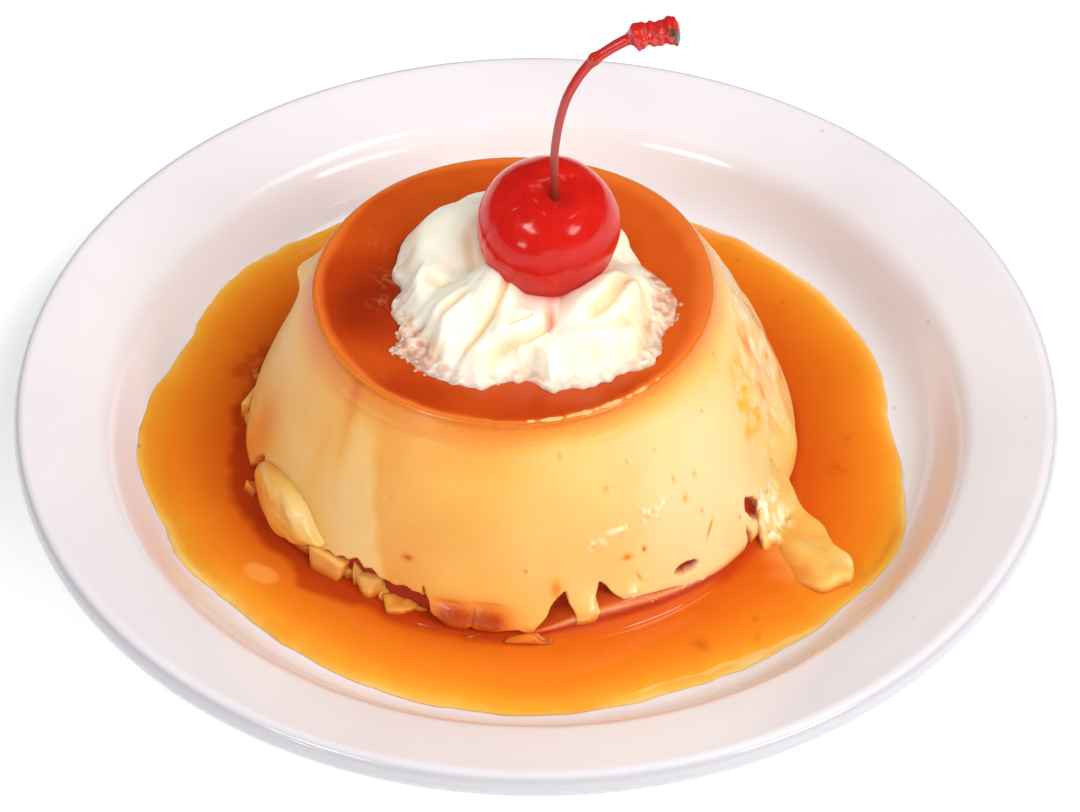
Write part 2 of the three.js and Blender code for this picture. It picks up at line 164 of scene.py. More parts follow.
# ---- plate ----
# A round side plate of white glazed porcelain, pressed and fired: a flat well, a steep cove, a shoulder, a
# sloping rim and a rolled edge, standing on a foot ring whose tread is the only unglazed part.
# The heights of its face count from the well's; those of its edge and underside from the table.
WELL, UNDER_WELL = 5.5, 1.9
PLATE_FACE = [
    (0, 0), (20, 0), (36, 0), (46, 0), (52, 0.02), (58, 0.15), (60.5, 0.7), (62.2, 1.7), (64, 3.5),
    (65.8, 6), (67.4, 8.4), (69, 10), (71, 10.95), (74.5, 12.35), (77.4, 13.4), (78.9, 13.95), (79.6, 14.2),
    (80.2, 14.42), (81, 14.6), (81.7, 14.35)]
PLATE_EDGE = [(82.3, 19), (82.5, 18.1), (82.4, 17), (81.9, 16.1)]
PLATE_UNDER = [
    (0, 1.9), (20, 1.9), (36, 1.9), (44, 1.9), (49.2, 1.8), (50, 1.2), (50.8, 0.15), (52, 0), (53.2, 0.15),
    (54, 1.2), (54.8, 2.1), (58, 2.6), (62.5, 5), (66.5, 9.4), (70, 12), (76, 14.4), (80.6, 15.5)]
MIDDLE = np.zeros(2)


def curve_through(points, count, closed=False):
    """Catmull-Rom spline through the points, read at `count` places evenly spaced along its length."""
    p = np.asarray(points, float)
    ends = (p[-1:], p[:2]) if closed else ([2 * p[0] - p[1]], [2 * p[-1] - p[-2]])
    p = np.vstack([ends[0], p, ends[1]])
    t = np.linspace(0, len(p) - 3, 60 * (len(p) - 3) + 1)
    i = np.minimum(t.astype(int), len(p) - 4)
    f = (t - i)[:, None]
    a, b, c, d = p[i], p[i + 1], p[i + 2], p[i + 3]
    fine = b + 0.5 * ((c - a) * f + (2 * a - 5 * b + 4 * c - d) * f ** 2 + (3 * b - a - 3 * c + d) * f ** 3)
    run = np.r_[0, np.cumsum(np.linalg.norm(np.diff(fine, axis=0), axis=1))]
    at = np.linspace(0, run[-1], count, endpoint=not closed)
    return np.stack([np.interp(at, run, fine[:, k]) for k in range(p.shape[1])], 1)


LATTICE = np.random.default_rng(11).uniform(-1, 1, (24, 24, 24))


def cloud(points, cell, seed=0):
    """Smooth random field from -1 to 1: random values at the corners of cubes `cell` mm wide, eased between
    corners by 3f^2 - 2f^3 along each axis; each seed reads the lattice from another place."""
    where = np.asarray(points) / cell + seed * 5.37
    corner = np.floor(where).astype(int)
    f = where - corner
    f = f * f * (3 - 2 * f)
    total = 0
    for k in range(8):
        step = np.array([k & 1, k >> 1 & 1, k >> 2])
        index = (corner + step) % len(LATTICE)
        total = total + np.prod(np.where(step, f, 1 - f), -1) * LATTICE[tuple(np.moveaxis(index, -1, 0))]
    return total


def skin(name, rings, low=None, high=None, **masks):
    """A closed skin over rings of points in mm, each joined round on itself: quads join neighbouring rings.
    Fans close the ends at the points `low` and `high`; without them the last ring joins the first. Several
    skins of one size may be stacked along a first axis. Masks are values kept at the points."""
    rings = rings if rings.ndim == 4 else rings[None]
    shells, rows, cols = rings.shape[:3]
    number = np.arange(shells * rows * cols).reshape(shells, rows, cols)
    here, there = (number, np.roll(number, -1, 1)) if low is None else (number[:, :-1], number[:, 1:])
    faces = np.stack([here, np.roll(here, -1, 2), np.roll(there, -1, 2), there], -1).reshape(-1, 4).tolist()
    points = rings.reshape(-1, 3)
    if low is not None:
        points = np.vstack([points, np.reshape(low, (-1, 3)), np.reshape(high, (-1, 3))])
        poles = number.size + np.arange(2 * shells).reshape(2, shells, 1)
        first, last = number[:, 0], number[:, -1]
        for pole, a, b in ((poles[0], np.roll(first, -1, 1), first), (poles[1], last, np.roll(last, -1, 1))):
            faces += np.stack([np.broadcast_to(pole, a.shape), a, b], -1).reshape(-1, 3).tolist()
    mesh = bpy.data.meshes.new(name)
    mesh.from_pydata((points * MM).tolist(), [], faces)
    mesh.shade_smooth()
    for mask, values in masks.items():
        values = np.broadcast_to(values, rings.shape[:3])
        ends = [values[:, 0].mean(-1), values[:, -1].mean(-1)] if low is not None else []
        layer = mesh.attributes.new(mask, "FLOAT", "POINT")
        layer.data.foreach_set("value", np.concatenate([values.ravel(), *ends]).astype(np.float32))
    return place(name, mesh)


def dress(piece, material, slot, *nodes):
    """Gives a piece its material and its body, and lets it stand for its solids; the slot is not used."""
    piece.data.materials.append(material)
    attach(piece, "root")
    if nodes:
        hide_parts(*nodes)


def full_turn(count):
    """Angles in radians, evenly round a circle."""
    return np.linspace(0, 2 * np.pi, count, endpoint=False)


def lathe(r, z, turn):
    """Rings at radii and heights, turned round the upright axis: (r cos t, r sin t, z)."""
    return np.stack([r * np.cos(turn), r * np.sin(turn), z + 0 * turn], -1)


def seen_from(centre, points):
    """Distance and azimuth of points from an upright axis."""
    x, y = points[..., 0] - centre[0], points[..., 1] - centre[1]
    return np.hypot(x, y), np.degrees(np.arctan2(y, x))


def unit(value):
    """A value kept from 0 to 1."""
    return np.clip(value, 0, 1)


face = [(r, WELL + z) for r, z in PLATE_FACE]
outline = curve_through(PLATE_UNDER[1:] + PLATE_EDGE[::-1] + face[:0:-1], 210)
rings = lathe(outline[:, :1], outline[:, 1:], full_turn(360))
reach = seen_from(MIDDLE, rings)[0]
# Drying and firing leave the rim a tenth of a millimetre out of true.
rings[..., 2] += 0.12 * cloud(rings, 34, 3) * unit((reach - 60) / 22)
plate = skin("side_plate", rings, (0, 0, UNDER_WELL), (0, 0, WELL), tread=(rings[..., 2] < 0.5) * 1.0,
             rim=unit((reach - 81.2) / 0.6))


def node_group(name, inputs, outputs):
    """A shader group with number sockets of those names: the group, what it is given and what it gives."""
    group = bpy.data.node_groups.new(name, "ShaderNodeTree")
    for sockets, way in ((inputs, "INPUT"), (outputs, "OUTPUT")):
        for socket in sockets:
            group.interface.new_socket(socket, in_out=way, socket_type="NodeSocketFloat")
    return group, add(group, "NodeGroupInput", {}).outputs, add(group, "NodeGroupOutput", {}).inputs


def grouped(tree, group, *values):
    """A group put in a tree and given those values, as its outputs."""
    return add(tree, "ShaderNodeGroup", dict(enumerate(values)), node_tree=group).outputs


# Broad and fine noise, for the uneven tone and grain of each surface; scales are cells to the metre.
mottle, given, gives = node_group("mottle", ("Broad Scale", "Fine Scale"), ("Broad", "Fine"))
for socket, detail in (("Broad", 3), ("Fine", 6)):
    mottle.links.new(texture(mottle, "Noise", given[socket + " Scale"], Detail=detail)["Fac"], gives[socket])


def mix(tree, factor, first, second, how="MIX"):
    """Two colours mixed by a factor; each is a socket, or (red, green, blue) as it looks on a screen."""
    first, second = (tint(*colour) if isinstance(colour, tuple) else colour for colour in (first, second))
    inputs = {0: factor, 6: first, 7: second}
    return add(tree, "ShaderNodeMix", inputs, data_type="RGBA", blend_type=how).outputs[2]


def scaled(tree, value, low, high, out_low=0, out_high=1):
    """A value moved from one range to another and kept inside it."""
    return add(tree, "ShaderNodeMapRange", {0: value, 1: low, 2: high, 3: out_low, 4: out_high}).outputs[0]


def over(tree, under, name, colour, amount=1):
    """A colour laid over what is under it, by `amount` times the mesh's mask of that name."""
    return mix(tree, scaled(tree, name, 0, 1, 0, amount), under, colour)


def bumped(tree, shader, height, distance, strength=1.0, under=None):
    """A bump of that height in metres into the shader's normal, over another one if given."""
    inputs = {"Height": height, "Distance": distance, "Strength": strength}
    if under is not None:
        inputs["Normal"] = under
    normal = add(tree, "ShaderNodeBump", inputs).outputs["Normal"]
    wire(shader, Normal=normal)
    return normal


glaze, tree, shader = surface_paint("plate_glaze", Coat_Weight=0.3, Coat_Roughness=0.08)
broad, fine = grouped(tree, mottle, 26, 900)
colour = steps(tree, broad, (0.3, 235, 226, 229), (0.5, 239, 231, 234), (0.72, 242, 235, 237))
pinhole = texture(tree, "Voronoi", 110)["Distance"]
colour = mix(tree, scaled(tree, pinhole, 0.03, 0.06, 0.35, 0), colour, (196, 176, 158))
# The outer face of the rolled edge is painted grey: painted shade, for it faces down and away from the
# lights.
colour = over(tree, colour, "rim", (192, 190, 196), 0.9)
colour = over(tree, colour, "tread", (222, 212, 196))
wire(shader, Base_Color=colour, Roughness=scaled(tree, fine, 0.3, 0.7, 0.13, 0.2))
bumped(tree, shader, fine, 0.00002, 0.5, bumped(tree, shader, broad, 0.0003, 0.25))
dress(plate, glaze, "plate_glaze", "plate")

# ---- custard ----
# A custard of milk, eggs and sugar, set in a cup in a water bath and turned out upside down: a smooth, moist
# wall stained by the caramel that ran down it, torn at its foot where it left the cup.
FOOT_Z, TOP_Z, SHOULDER = 5.8, 39.2, 38.5
FOOT, TOP = np.array([-2.4, -1.4]), np.array([-3.7, -0.9])
FOOT_RADIUS, TOP_RADIUS = 44.8, 30.6
# Radii by which azimuths become lengths round the wall: at its middle height, and by its torn foot.
WAIST, TORN_RADIUS = 42, 43
# Uneven places on the wall: azimuth, width in degrees, height, width in height, amount.
WALL_HUMPS = [
    (36, 22, 30, 8, 1.2), (18, 9, 23, 5, 0.9), (2, 7, 26, 4, 0.5), (48, 8, 20, 5, 0.5), (0, 26, 15, 7, 0.5),
    (50, 26, 39, 4, 0.5), (157, 18, 26, 9, -1), (160, 5, 31.5, 2.8, 2), (-172, 6, 13, 4, 0.5),
    (-96, 12, 9, 2.5, 0.4)]


def apart(azimuth, other):
    """Degrees from one azimuth to another, -180 to 180."""
    return (azimuth - other + 180) % 360 - 180


def bell(value, width, power=2):
    """1 at 0, falling away on both sides: exp(-|value / width|^power)."""
    return np.exp(-np.abs(value / width) ** power)


def ease(value, low, high):
    """0 below `low`, 1 above `high`, 3f^2 - 2f^3 between."""
    f = unit((value - low) / (high - low))
    return f * f * (3 - 2 * f)


def wall_share(z):
    """Share of the way up the wall."""
    return unit((z - FOOT_Z) / (TOP_Z - FOOT_Z))


def wall_centre(z):
    """The wall's axis leans: its middle goes straight from the foot's to the top's."""
    return FOOT + (TOP - FOOT) * wall_share(z)[..., None]


def wall_radius(azimuth, z):
    """The wall's distance from its axis: from the foot's radius it falls by the share of the height to the
    power 1.34, is tucked in by 1.9 mm at the foot, and carries humps, Gaussians of azimuth and height."""
    radius = FOOT_RADIUS - (FOOT_RADIUS - TOP_RADIUS) * wall_share(z) ** 1.34 - 1.9 * bell(z - FOOT_Z, 2.4)
    for centre, wide, height, high, amount in WALL_HUMPS:
        radius = radius + amount * bell(apart(azimuth, centre), wide) * bell(z - height, high)
    return radius


def around(centre, radius, azimuth, z):
    """Points at a radius and azimuth about a centre, at a height."""
    turn = np.radians(azimuth)
    x, y = centre[..., 0] + radius * np.cos(turn), centre[..., 1] + radius * np.sin(turn)
    return np.stack(np.broadcast_arrays(x, y, np.asarray(z, float)), -1).copy()


# Columns stand closer together on the viewer's side, rows closer at the foot.
even = np.linspace(-180, 180, 2001)
weight = 1 + 2.4 * bell(apart(even, -75), 75)
columns = np.interp(np.linspace(0, 1, 700, endpoint=False),
                    np.r_[0, np.cumsum(weight[1:])] / weight[1:].sum(), even)
levels = np.r_[np.linspace(FOOT_Z, 16, 46), np.linspace(16.35, SHOULDER, 64)]
AZ, Z = np.meshgrid(columns, levels)
bare = around(wall_centre(Z), wall_radius(AZ, Z), AZ, Z)


def blot(at, height, wide, high, lean=0, power=2):
    """1 at an azimuth and height on the wall falling to 0: exp(-|u/wide|^power - |v/high|^power), u along the
    wall and v up it in mm, sheared by `lean`."""
    v = Z - height
    return bell(np.radians(apart(AZ, at)) * WAIST - lean * v, wide, power) * bell(v, high, power)


def marks(table):
    """Blots on the wall added up: azimuth, height, half width, half height, amount and any lean of each."""
    return sum(amount * blot(at, z, wide, high, *lean) for at, z, wide, high, amount, *lean in table)


# Along the left of the foot the skin is torn away under a ragged edge.
edge_line = np.interp(apart(AZ, -130), [-34, -28, -11, -7, 0, 4, 12, 20, 23, 26, 40, 44],
                      [6, 11.5, 11.9, 11.6, 13.3, 13.9, 13.7, 13.2, 10.4, 9.1, 9.2, 7.0])
edge_line += (1.0 - 0.6 * ease(AZ, -110, -106)) * cloud(around(FOOT, 44, AZ, 0), 2.0, 2)
torn = ease(edge_line - Z, -0.2, 0.4) * ease(apart(AZ, -158), -2, 3) * ease(-apart(AZ, -88), -1, 2)
hole, depth = 0.72 * torn, 2.6 * torn * (1 - 0.5 * ease(Z, 10.5, 13.5))
# Wedges torn into the foot: azimuth, half width, foot, top, depth, lean.
WEDGES = [
    (-82.5, 3.6, 7.5, 15, 3.4, 0.25), (-70, 2.9, 9.2, 15.6, 3, -0.36), (-108.3, 0.9, 8, 14.6, 2.4, -0.12),
    (-36, 0.9, 8.4, 12.2, 2, 0.1), (-163.5, 3, 8, 15.8, 3.2, 0.3), (-23, 1.2, 8, 11.5, 1.8, 0),
    (152, 2.2, 7, 12.6, 2.4, 0.1), (60, 1.8, 7, 12, 2, -0.2), (104, 2.6, 7, 11.6, 2.2, 0.15),
    (166, 1.6, 7, 13.5, 2, 0.2)]
for at, half, low, high, deep, lean in WEDGES:
    u = np.radians(apart(AZ, at)) * TORN_RADIUS - lean * (Z - 9)
    gape = half * np.clip((high - Z) / (high - low), 0, 1.1) ** 0.75
    inside = ease(gape - np.abs(u + 0.2 * np.sin(1.6 * Z + at)), -0.12, 0.4)
    inside *= (Z < high) * ease(Z, low - 1.5, low - 0.5)
    hole, depth = np.maximum(hole, inside), np.maximum(depth, deep * inside)
# Pits: azimuth, height, half width, half height, lean, depth.
for *place_at, deep in [(-53.2, 12.6, 2.3, 1.0, -0.5, 1.6), (-32.3, 13.5, 1.6, 2.5, -0.3, 1.9)]:
    pit = ease(blot(*place_at) + 0.12 * cloud(bare, 1.0, 4), 0.32, 0.66)
    hole, depth = np.maximum(hole, pit), np.maximum(depth, deep * pit)

# Lumpy ground on the right: upright wrinkles, and a patch of coarse bubbles at its edge.
ragged = np.maximum(blot(6, 26, 17, 9.5, 0.35, 6), blot(-14, 24, 6, 6, 0.5, 4))
wrinkle = bare * (1, 1, 0.35)
patch = blot(-18.5, 26.6, 3.4, 5.2, 0.55, 6)
swell = ragged * (0.6 * cloud(wrinkle, 5.0, 4) + 0.16 * cloud(bare, 2.2, 5))
swell += patch * (0.4 * cloud(bare, 1.3, 9) + 0.3 * cloud(bare, 0.7, 2))
# The sauce wets the wall up to a line at the right front, where its film ends in a fine ridge.
FILM_LINE = (-88, -84, -79, -73, -67, -59.5, -49, -44), (7.8, 8.8, 10.4, 11.4, 11.4, 10.6, 9.3, 7.8)
film_line = np.interp(AZ, *FILM_LINE)
film_side = ease(AZ, -84, -80) * ease(-AZ, 44, 48)
film_ridge = film_side * bell(Z - film_line, 0.2) * ease(cloud(bare, 1.6, 12), -0.5, 0)
# Swellings and dints: azimuth, height, half width, half height, amount, lean.
BLISTERS = [
    (-95.3, 10.5, 2.4, 1.6, 0.8, 0.1), (-102.6, 10.3, 2.3, 1.8, 0.8, -0.1), (-99, 10.6, 0.3, 1.9, -0.5, 0.2),
    (-103.6, 12.7, 2.4, 0.4, -0.4, 0.1), (-95.8, 13, 2.3, 0.4, -0.4, -0.1), (-76.4, 11.8, 1.9, 2.3, 0.8),
    (-73.2, 13, 0.35, 1.6, 0.4, 0.1), (-66.2, 13, 1.1, 1, 0.6), (-11, 14.2, 4, 4, 1.5, 0.3),
    (-3.5, 27, 0.8, 2.2, -0.35, 0.3), (5.5, 24.5, 0.8, 2, -0.3, 0.4), (-9, 19.5, 0.6, 1.4, -0.35, -0.6),
    (-20.5, 15.6, 0.5, 2, -0.7, 0.4), (-23, 12.4, 1.5, 1.2, 0.8), (-82, 36, 20, 0.35, -0.2),
    (-120, 35.4, 16, 0.35, -0.2), (-45, 34.8, 14, 0.35, -0.15), (6, 35.2, 6, 1, 0.4),
    (160, 28.2, 2.2, 0.6, -0.7), (160.5, 31.2, 2.2, 1.9, 0.5), (-68.1, 28.5, 0.5, 0.35, -0.35, 0.2),
    (-50.7, 26, 0.3, 0.6, -0.3), (-49.2, 22.3, 0.6, 0.9, -0.4, 0.2), (-119.9, 25.6, 0.8, 0.45, -0.25),
    (-78.2, 34.2, 0.3, 0.4, -0.25), (-21.4, 35.2, 0.3, 0.8, -0.3), (-45.6, 16.2, 0.25, 1.3, -0.3, 0.9)]
swell += 0.16 * film_ridge + marks(BLISTERS)
# Small crinkled marks that stay wet and catch the light: azimuth, height, half width, half height, lean.
GLINTS = [
    (-58.6, 22.9, 1.3, 0.8, 0.5), (-55.2, 23.8, 0.8, 0.5, 0.3), (-60.6, 23.8, 0.6, 0.4),
    (-67, 22.5, 2.1, 0.42), (-72.2, 21.2, 1.3, 0.8), (-71.2, 11, 0.9, 0.7), (-73.4, 12.2, 0.4, 1.3, 0.1),
    (-84.6, 8.8, 1.3, 0.7, -0.6), (-63, 10.3, 2.6, 0.4), (-66.4, 12.8, 0.8, 0.8), (-51.2, 12.3, 0.7, 0.5),
    (-61.6, 25, 0.4, 0.2), (-19.6, 28.6, 0.7, 0.6), (-18.8, 24.8, 0.5, 0.5), (-14.6, 21, 0.6, 0.9),
    (-75.2, 12.6, 0.5, 1.2, 0.2), (2.5, 34.6, 1.5, 0.5, -0.5), (6.5, 32.4, 1.2, 0.5, -0.5),
    (9.5, 27, 0.5, 1.6)]
glint = np.max([blot(*mark, power=4) for mark in GLINTS], 0)
swell += glint * (0.42 * cloud(bare, 0.7, 3) + 0.12)
swell += 0.1 * cloud(bare, 11, 6) + 0.035 * cloud(bare, 2.6, 7)
wall = around(wall_centre(Z), wall_radius(AZ, Z) + swell - depth, AZ, Z)
brim = SHOULDER + 0 * columns
radius = wall_radius(columns, brim)
fold_in = [around(wall_centre(brim), radius - drop, columns, brim + rise)
           for drop, rise in ((0.06, 0.2), (0.2, 0.38), (0.5, 0.5), (4.6, -0.6), (16, -0.9))]
underneath = [around(FOOT, FOOT_RADIUS * share, columns, FOOT_Z) for share in (0.45, 0.82)]

# Caramel has stained the wall: most of all under the cap, then in a film that ends at an upright seam on the
# left, in washes and spots elsewhere, and where the sauce has soaked the foot.
below = SHOULDER + 0.5 - Z
reach = np.interp(AZ, [-180, -140, -118, -104, -92, -80, -60, -40, 0, 60, 180],
                  [4.0, 4.6, 4.8, 4.8, 4.2, 3.0, 3.2, 3.2, 3.4, 3.2, 4.0])
past_seam = AZ - np.interp(Z, [8, 18, 27, 32, 36], [-116.5, -120.4, -124.8, -127, -129])
film = ease(past_seam + 0.9 * cloud(bare, 3, 8), -1.3, 1.9 + 0.25 * np.clip(Z - 24, 0, 20))
# Washes and spots: azimuth, height, half width, half height, amount, lean.
FILMS = [
    (-136, 33, 1.6, 8, 0.22, -0.1), (-141, 26, 2, 7, 0.12, 0.1), (-166, 17, 5, 9, 0.34, 0.2),
    (-154, 12, 4, 3, 0.2), (-139, 13, 8, 6, 0.12), (-101, 11, 7, 3, 0.14), (-102.8, 10.8, 2.7, 2, 0.85),
    (-95.2, 10.9, 2.7, 1.9, 0.85), (-99, 32.5, 14, 1.6, 0.08), (-28, 34.6, 13, 3, 0.09),
    (-62.1, 18.5, 0.32, 0.32, 1), (-66.2, 18.2, 0.8, 0.4, 0.6, -0.3), (-45.6, 16.2, 0.2, 1, 1, 0.9),
    (-46.2, 19.6, 0.25, 0.25, 0.6), (-113.2, 18.2, 0.8, 0.4, 0.7), (-64.4, 14.7, 0.2, 0.7, 0.5, -0.4),
    (-12, 12, 7, 4, 0.18), (-6, 29, 1.6, 2.4, 0.35), (1.3, 23.3, 0.9, 0.7, 0.5), (-82, 15.6, 0.8, 1.3, 0.4),
    (-76.5, 10, 2.2, 2, 0.15), (-53.3, 31.3, 0.2, 0.2, 0.5), (-61.3, 31.3, 0.25, 0.25, 0.4)]
stain = marks(FILMS) + 0.3 * bell(below, 0.8) + 0.43 * bell(below, reach, 2.4) + 0.05 * cloud(bare, 7, 8)
stain += 0.28 * film * bell(np.maximum(past_seam, 0), 25) * ease(36 - Z, -2, 6)
stain += 0.1 * bell(apart(AZ, -85), 30) + 0.13 * ease(np.abs(AZ), 118, 148)
stain += 0.3 * film_side * ease(film_line - Z, 0, 1) + 0.3 * ragged * ease(cloud(wrinkle, 2.4, 7), 0.05, 0.6)
stain += 0.42 * ease(9.8 - Z, -0.6, 1.6) * (0.7 + 0.3 * cloud(bare, 3, 2))
# Pale marks, mostly painted highlights: on the wet glints, along the film's ridge and in sparkles over the
# ragged ground, with broader paler patches at the front right and on the left.
pale = glint * ease(cloud(bare, 0.7, 5), -0.2, 0.3) + 0.7 * film_ridge + 0.28 * blot(-46, 22, 14, 13, 0, 4)
pale += 0.12 * blot(-132, 20, 4, 9, -0.1) + 0.4 * ragged * ease(cloud(bare, 1.6, 11), 0.1, 0.5)
yellow = patch * (0.35 + 0.9 * ease(cloud(bare, 1.5, 9), -0.1, 0.4))
yellow += 0.3 * ragged * ease(cloud(bare, 2.6, 8), 0, 0.6)
yellow += 0.9 * sum(blot(at, height, 0.5, 0.5) for at, height in (
    (-68.1, 28.5), (-50.7, 26.0), (-49.2, 22.3), (-78.2, 34.2), (-45, 25), (-21.4, 35.2)))
wet = unit(glint + film_ridge + ragged + 0.7 * patch + ease(11 - Z, 0, 2) + stain * 0.5) * (1 - hole)
# Dark red, mostly painted shade: in the holes, wedges and pits, under the torn edge, and along the very foot,
# where it is partly the soaked sauce; on the two lumps it is their brown stain.
soak_and_shade = 0.12 * (blot(-102.8, 10.4, 2.7, 2.1) + blot(-95.2, 10.5, 2.7, 2.0)) + 0.5 * ease(9.4 - Z, 0, 1)
soak_and_shade += 0.25 * torn * ease(cloud(bare, 1.1, 3), -0.4, 0.4)
dark = unit(2.2 * hole * (0.5 + 0.5 * ease(depth, 0.4, 1.8)) + soak_and_shade)


def whole(values, low=0, high=0):
    """Values on the wall with those of the rings under and over it."""
    rings = (len(underneath), len(fold_in)), (0, 0)
    return np.pad(unit(values), rings, constant_values=((low, high), (0, 0)))


custard = skin("flan_wall", np.concatenate([underneath, wall, fold_in]), (*FOOT, FOOT_Z),
               (*TOP, SHOULDER - 0.9), stain=whole(stain, 0.6, 0.62), pale=whole(pale),
               yellow=whole(yellow), wet=whole(wet, 1, 1), dark=whole(dark))


def maths(tree, operation, first, second):
    """Two values put through one operation."""
    return add(tree, "ShaderNodeMath", {0: first, 1: second}, operation=operation).outputs[0]


# Scattered specks: 1 in cells nearer their middle than Near, 0 beyond Far, in the share of the cells whose
# random value passes from Few to Many.
specks, given, gives = node_group("specks", ("Scale", "Near", "Far", "Few", "Many"), ("Speck",))
cell = texture(specks, "Voronoi", given["Scale"])
near = scaled(specks, cell["Distance"], given["Near"], given["Far"], 1, 0)
chosen = scaled(specks, cell["Color"], given["Few"], given["Many"])
specks.links.new(maths(specks, "MULTIPLY", near, chosen), gives["Speck"])

custard_paint, tree, shader = surface_paint(
    "custard", Subsurface_Weight=0.45, Subsurface_Scale=0.004, Subsurface_Radius=(1.0, 0.55, 0.22),
    Coat_Roughness=0.22, Emission_Strength=0.45)
broad, fine = grouped(tree, mottle, 90, 1400)
speck = grouped(tree, specks, 190, 0.04, 0.09, 0.74, 0.8)[0]
colour = steps(tree, broad, (0.3, 245, 196, 122), (0.52, 247, 203, 130), (0.75, 249, 210, 142))
# The pale colour is mostly painted highlight.
colour = over(tree, colour, "pale", (255, 242, 216))
colour = over(tree, colour, "yellow", (242, 180, 62))
amber = steps(tree, maths(tree, "MULTIPLY", "stain", scaled(tree, fine, 0.3, 0.7, 0.94, 1.06)),
              (0, 255, 255, 255), (0.2, 252, 232, 178), (0.38, 248, 200, 132), (0.62, 240, 160, 84),
              (1, 190, 92, 34))
colour = mix(tree, 1, colour, amber, "MULTIPLY")
colour = mix(tree, scaled(tree, speck, 0, 1, 0, 0.5), colour, (196, 132, 52))
# The dark red is mostly painted shade.
colour = over(tree, colour, "dark", (132, 34, 14))
# The dark places also get a deep red emission: a painted glow, for nothing there is a lamp.
glow = mix(tree, "dark", (0, 0, 0), (150, 40, 12))
rough = maths(tree, "ADD", scaled(tree, "wet", 0, 1, 0.42, 0.13),
              scaled(tree, "dark", 0.2, 0.8, 0, 0.45))
wire(shader, Base_Color=colour, Emission_Color=glow, Roughness=rough,
     Coat_Weight=scaled(tree, "dark", 0, 0.7, 0.2, 0))
bumped(tree, shader, speck, -0.0002, 0.6, bumped(tree, shader, fine, 0.00006, 0.5))
dress(custard, custard_paint, "custard", "flan_custard")

# ---- custard crumbs ----
# Broken lumps of the same custard, left standing along the torn foot and stuck to it, their lower parts
# soaked by the sauce.
# Azimuth, radius, length round, length out, height, foot, turn in degrees.
CRUMBS = [
    (-133.4, 41.5, 4.9, 4.6, 6.6, 5.6, 12), (-129.2, 40.6, 2.4, 2, 4.6, 5.6, 40),
    (-126.6, 40.9, 2.2, 2.2, 6, 5.6, 20), (-123, 41.4, 3.6, 3.6, 5.6, 5.6, -25),
    (-119.6, 41.2, 2, 2.2, 3.8, 5.6, 30), (-114.9, 42, 5.2, 3.2, 3.4, 5.6, 12),
    (-110.6, 41.4, 1.8, 2, 3, 5.6, 0), (-142.3, 41.9, 3.6, 2.6, 4, 5.6, 15),
    (-145.6, 42.6, 2.2, 2, 2.8, 5.6, -20), (-87.4, 44, 7, 2.6, 2.5, 5.8, -4),
    (-162.6, 44.6, 3, 1.8, 3, 5.8, 30), (-99.4, 43.9, 2.6, 1.4, 2, 5.6, 10),
    (172.8, 44.5, 5.6, 1.5, 4.4, 5.6, -6), (177.5, 44.2, 2.6, 1.1, 3.2, 5.6, 12),
    (163.5, 45.8, 2.4, 1.2, 2.2, 5.6, 30), (60, 43.5, 3.4, 2.4, 3, 5.6, 10),
    (101, 43, 4.2, 2.6, 3.2, 5.6, -15), (36.5, 44, 2.6, 1.8, 2.6, 5.6, 20),
    (128, 43.4, 2.8, 2.2, 2.8, 5.6, 0)]


def broken_lumps(sizes, turn, spots, seed, rows=26, cols=40):
    """Lumps bounded by flat breaks: along a direction d the surface lies at (sum over breaks n of
    max(d.n / h_n, 0)^22)^(-1/22), the breaks being the sides of a tilted box and five random ones. Each lump
    is turned about the upright axis and moved to its spot. Gives their rings and their poles."""
    draw, count = np.random.default_rng(seed), len(sizes)
    sides = np.vstack([np.eye(3), -np.eye(3)])[None] + draw.normal(0, 0.2, (count, 6, 3))
    normals = np.concatenate([sides, draw.normal(0, 1, (count, 5, 3))], 1)
    normals /= np.linalg.norm(normals, axis=-1, keepdims=True)
    reach = np.concatenate([np.ones((count, 6)), draw.uniform(0.9, 1.2, (count, 5))], 1)
    lat = ((np.arange(rows) + 0.5) / rows * np.pi - np.pi / 2)[:, None]
    ways = lathe(np.cos(lat), np.sin(lat), full_turn(cols))
    ways = np.concatenate([ways.reshape(-1, 3), [[0, 0, -1], [0, 0, 1]]])
    facing = np.einsum("pk,cnk->cpn", ways, normals) / reach[:, None]
    far = (np.maximum(facing, 1e-3) ** 22).sum(-1) ** (-1 / 22)
    x, y, z = np.moveaxis(ways * far[..., None] * (sizes[:, None] / 2), -1, 0)
    c, s = np.cos(turn)[:, None], np.sin(turn)[:, None]
    points = np.stack([x * c - y * s, x * s + y * c, z], -1) + spots[:, None]
    return points[:, :-2].reshape(count, rows, cols, 3), points[:, -2:]


azimuth, radius, *sizes, foot, turn = np.array(CRUMBS, float).T
spots = around(FOOT, radius, azimuth, foot + sizes[2] / 2)
lumps, poles = broken_lumps(np.array(sizes).T, np.radians(azimuth - 90 + turn), spots, seed=5)
lumps += (0.26 * cloud(lumps, 1.7, 3) + 0.14 * cloud(lumps, 0.8, 4))[..., None] * (0.6, -0.6, 1)
soak_and_shade = unit(1.1 - (lumps[..., 2] - 7.4) / 1.9) ** 1.2
# Their tops are painted paler, a painted highlight, and their low parts painted darker: partly the sauce that
# soaked them, partly painted shade.
crumbs = skin("custard_crumbs", lumps, poles[:, 0], poles[:, 1], stain=0.28 + 0.62 * soak_and_shade,
              pale=0.15 * ease(lumps[..., 2], 8.4, 10.5), yellow=0, wet=0.5 + 0.5 * soak_and_shade,
              dark=0.25 * soak_and_shade ** 2)
dress(crumbs, custard_paint, "custard")

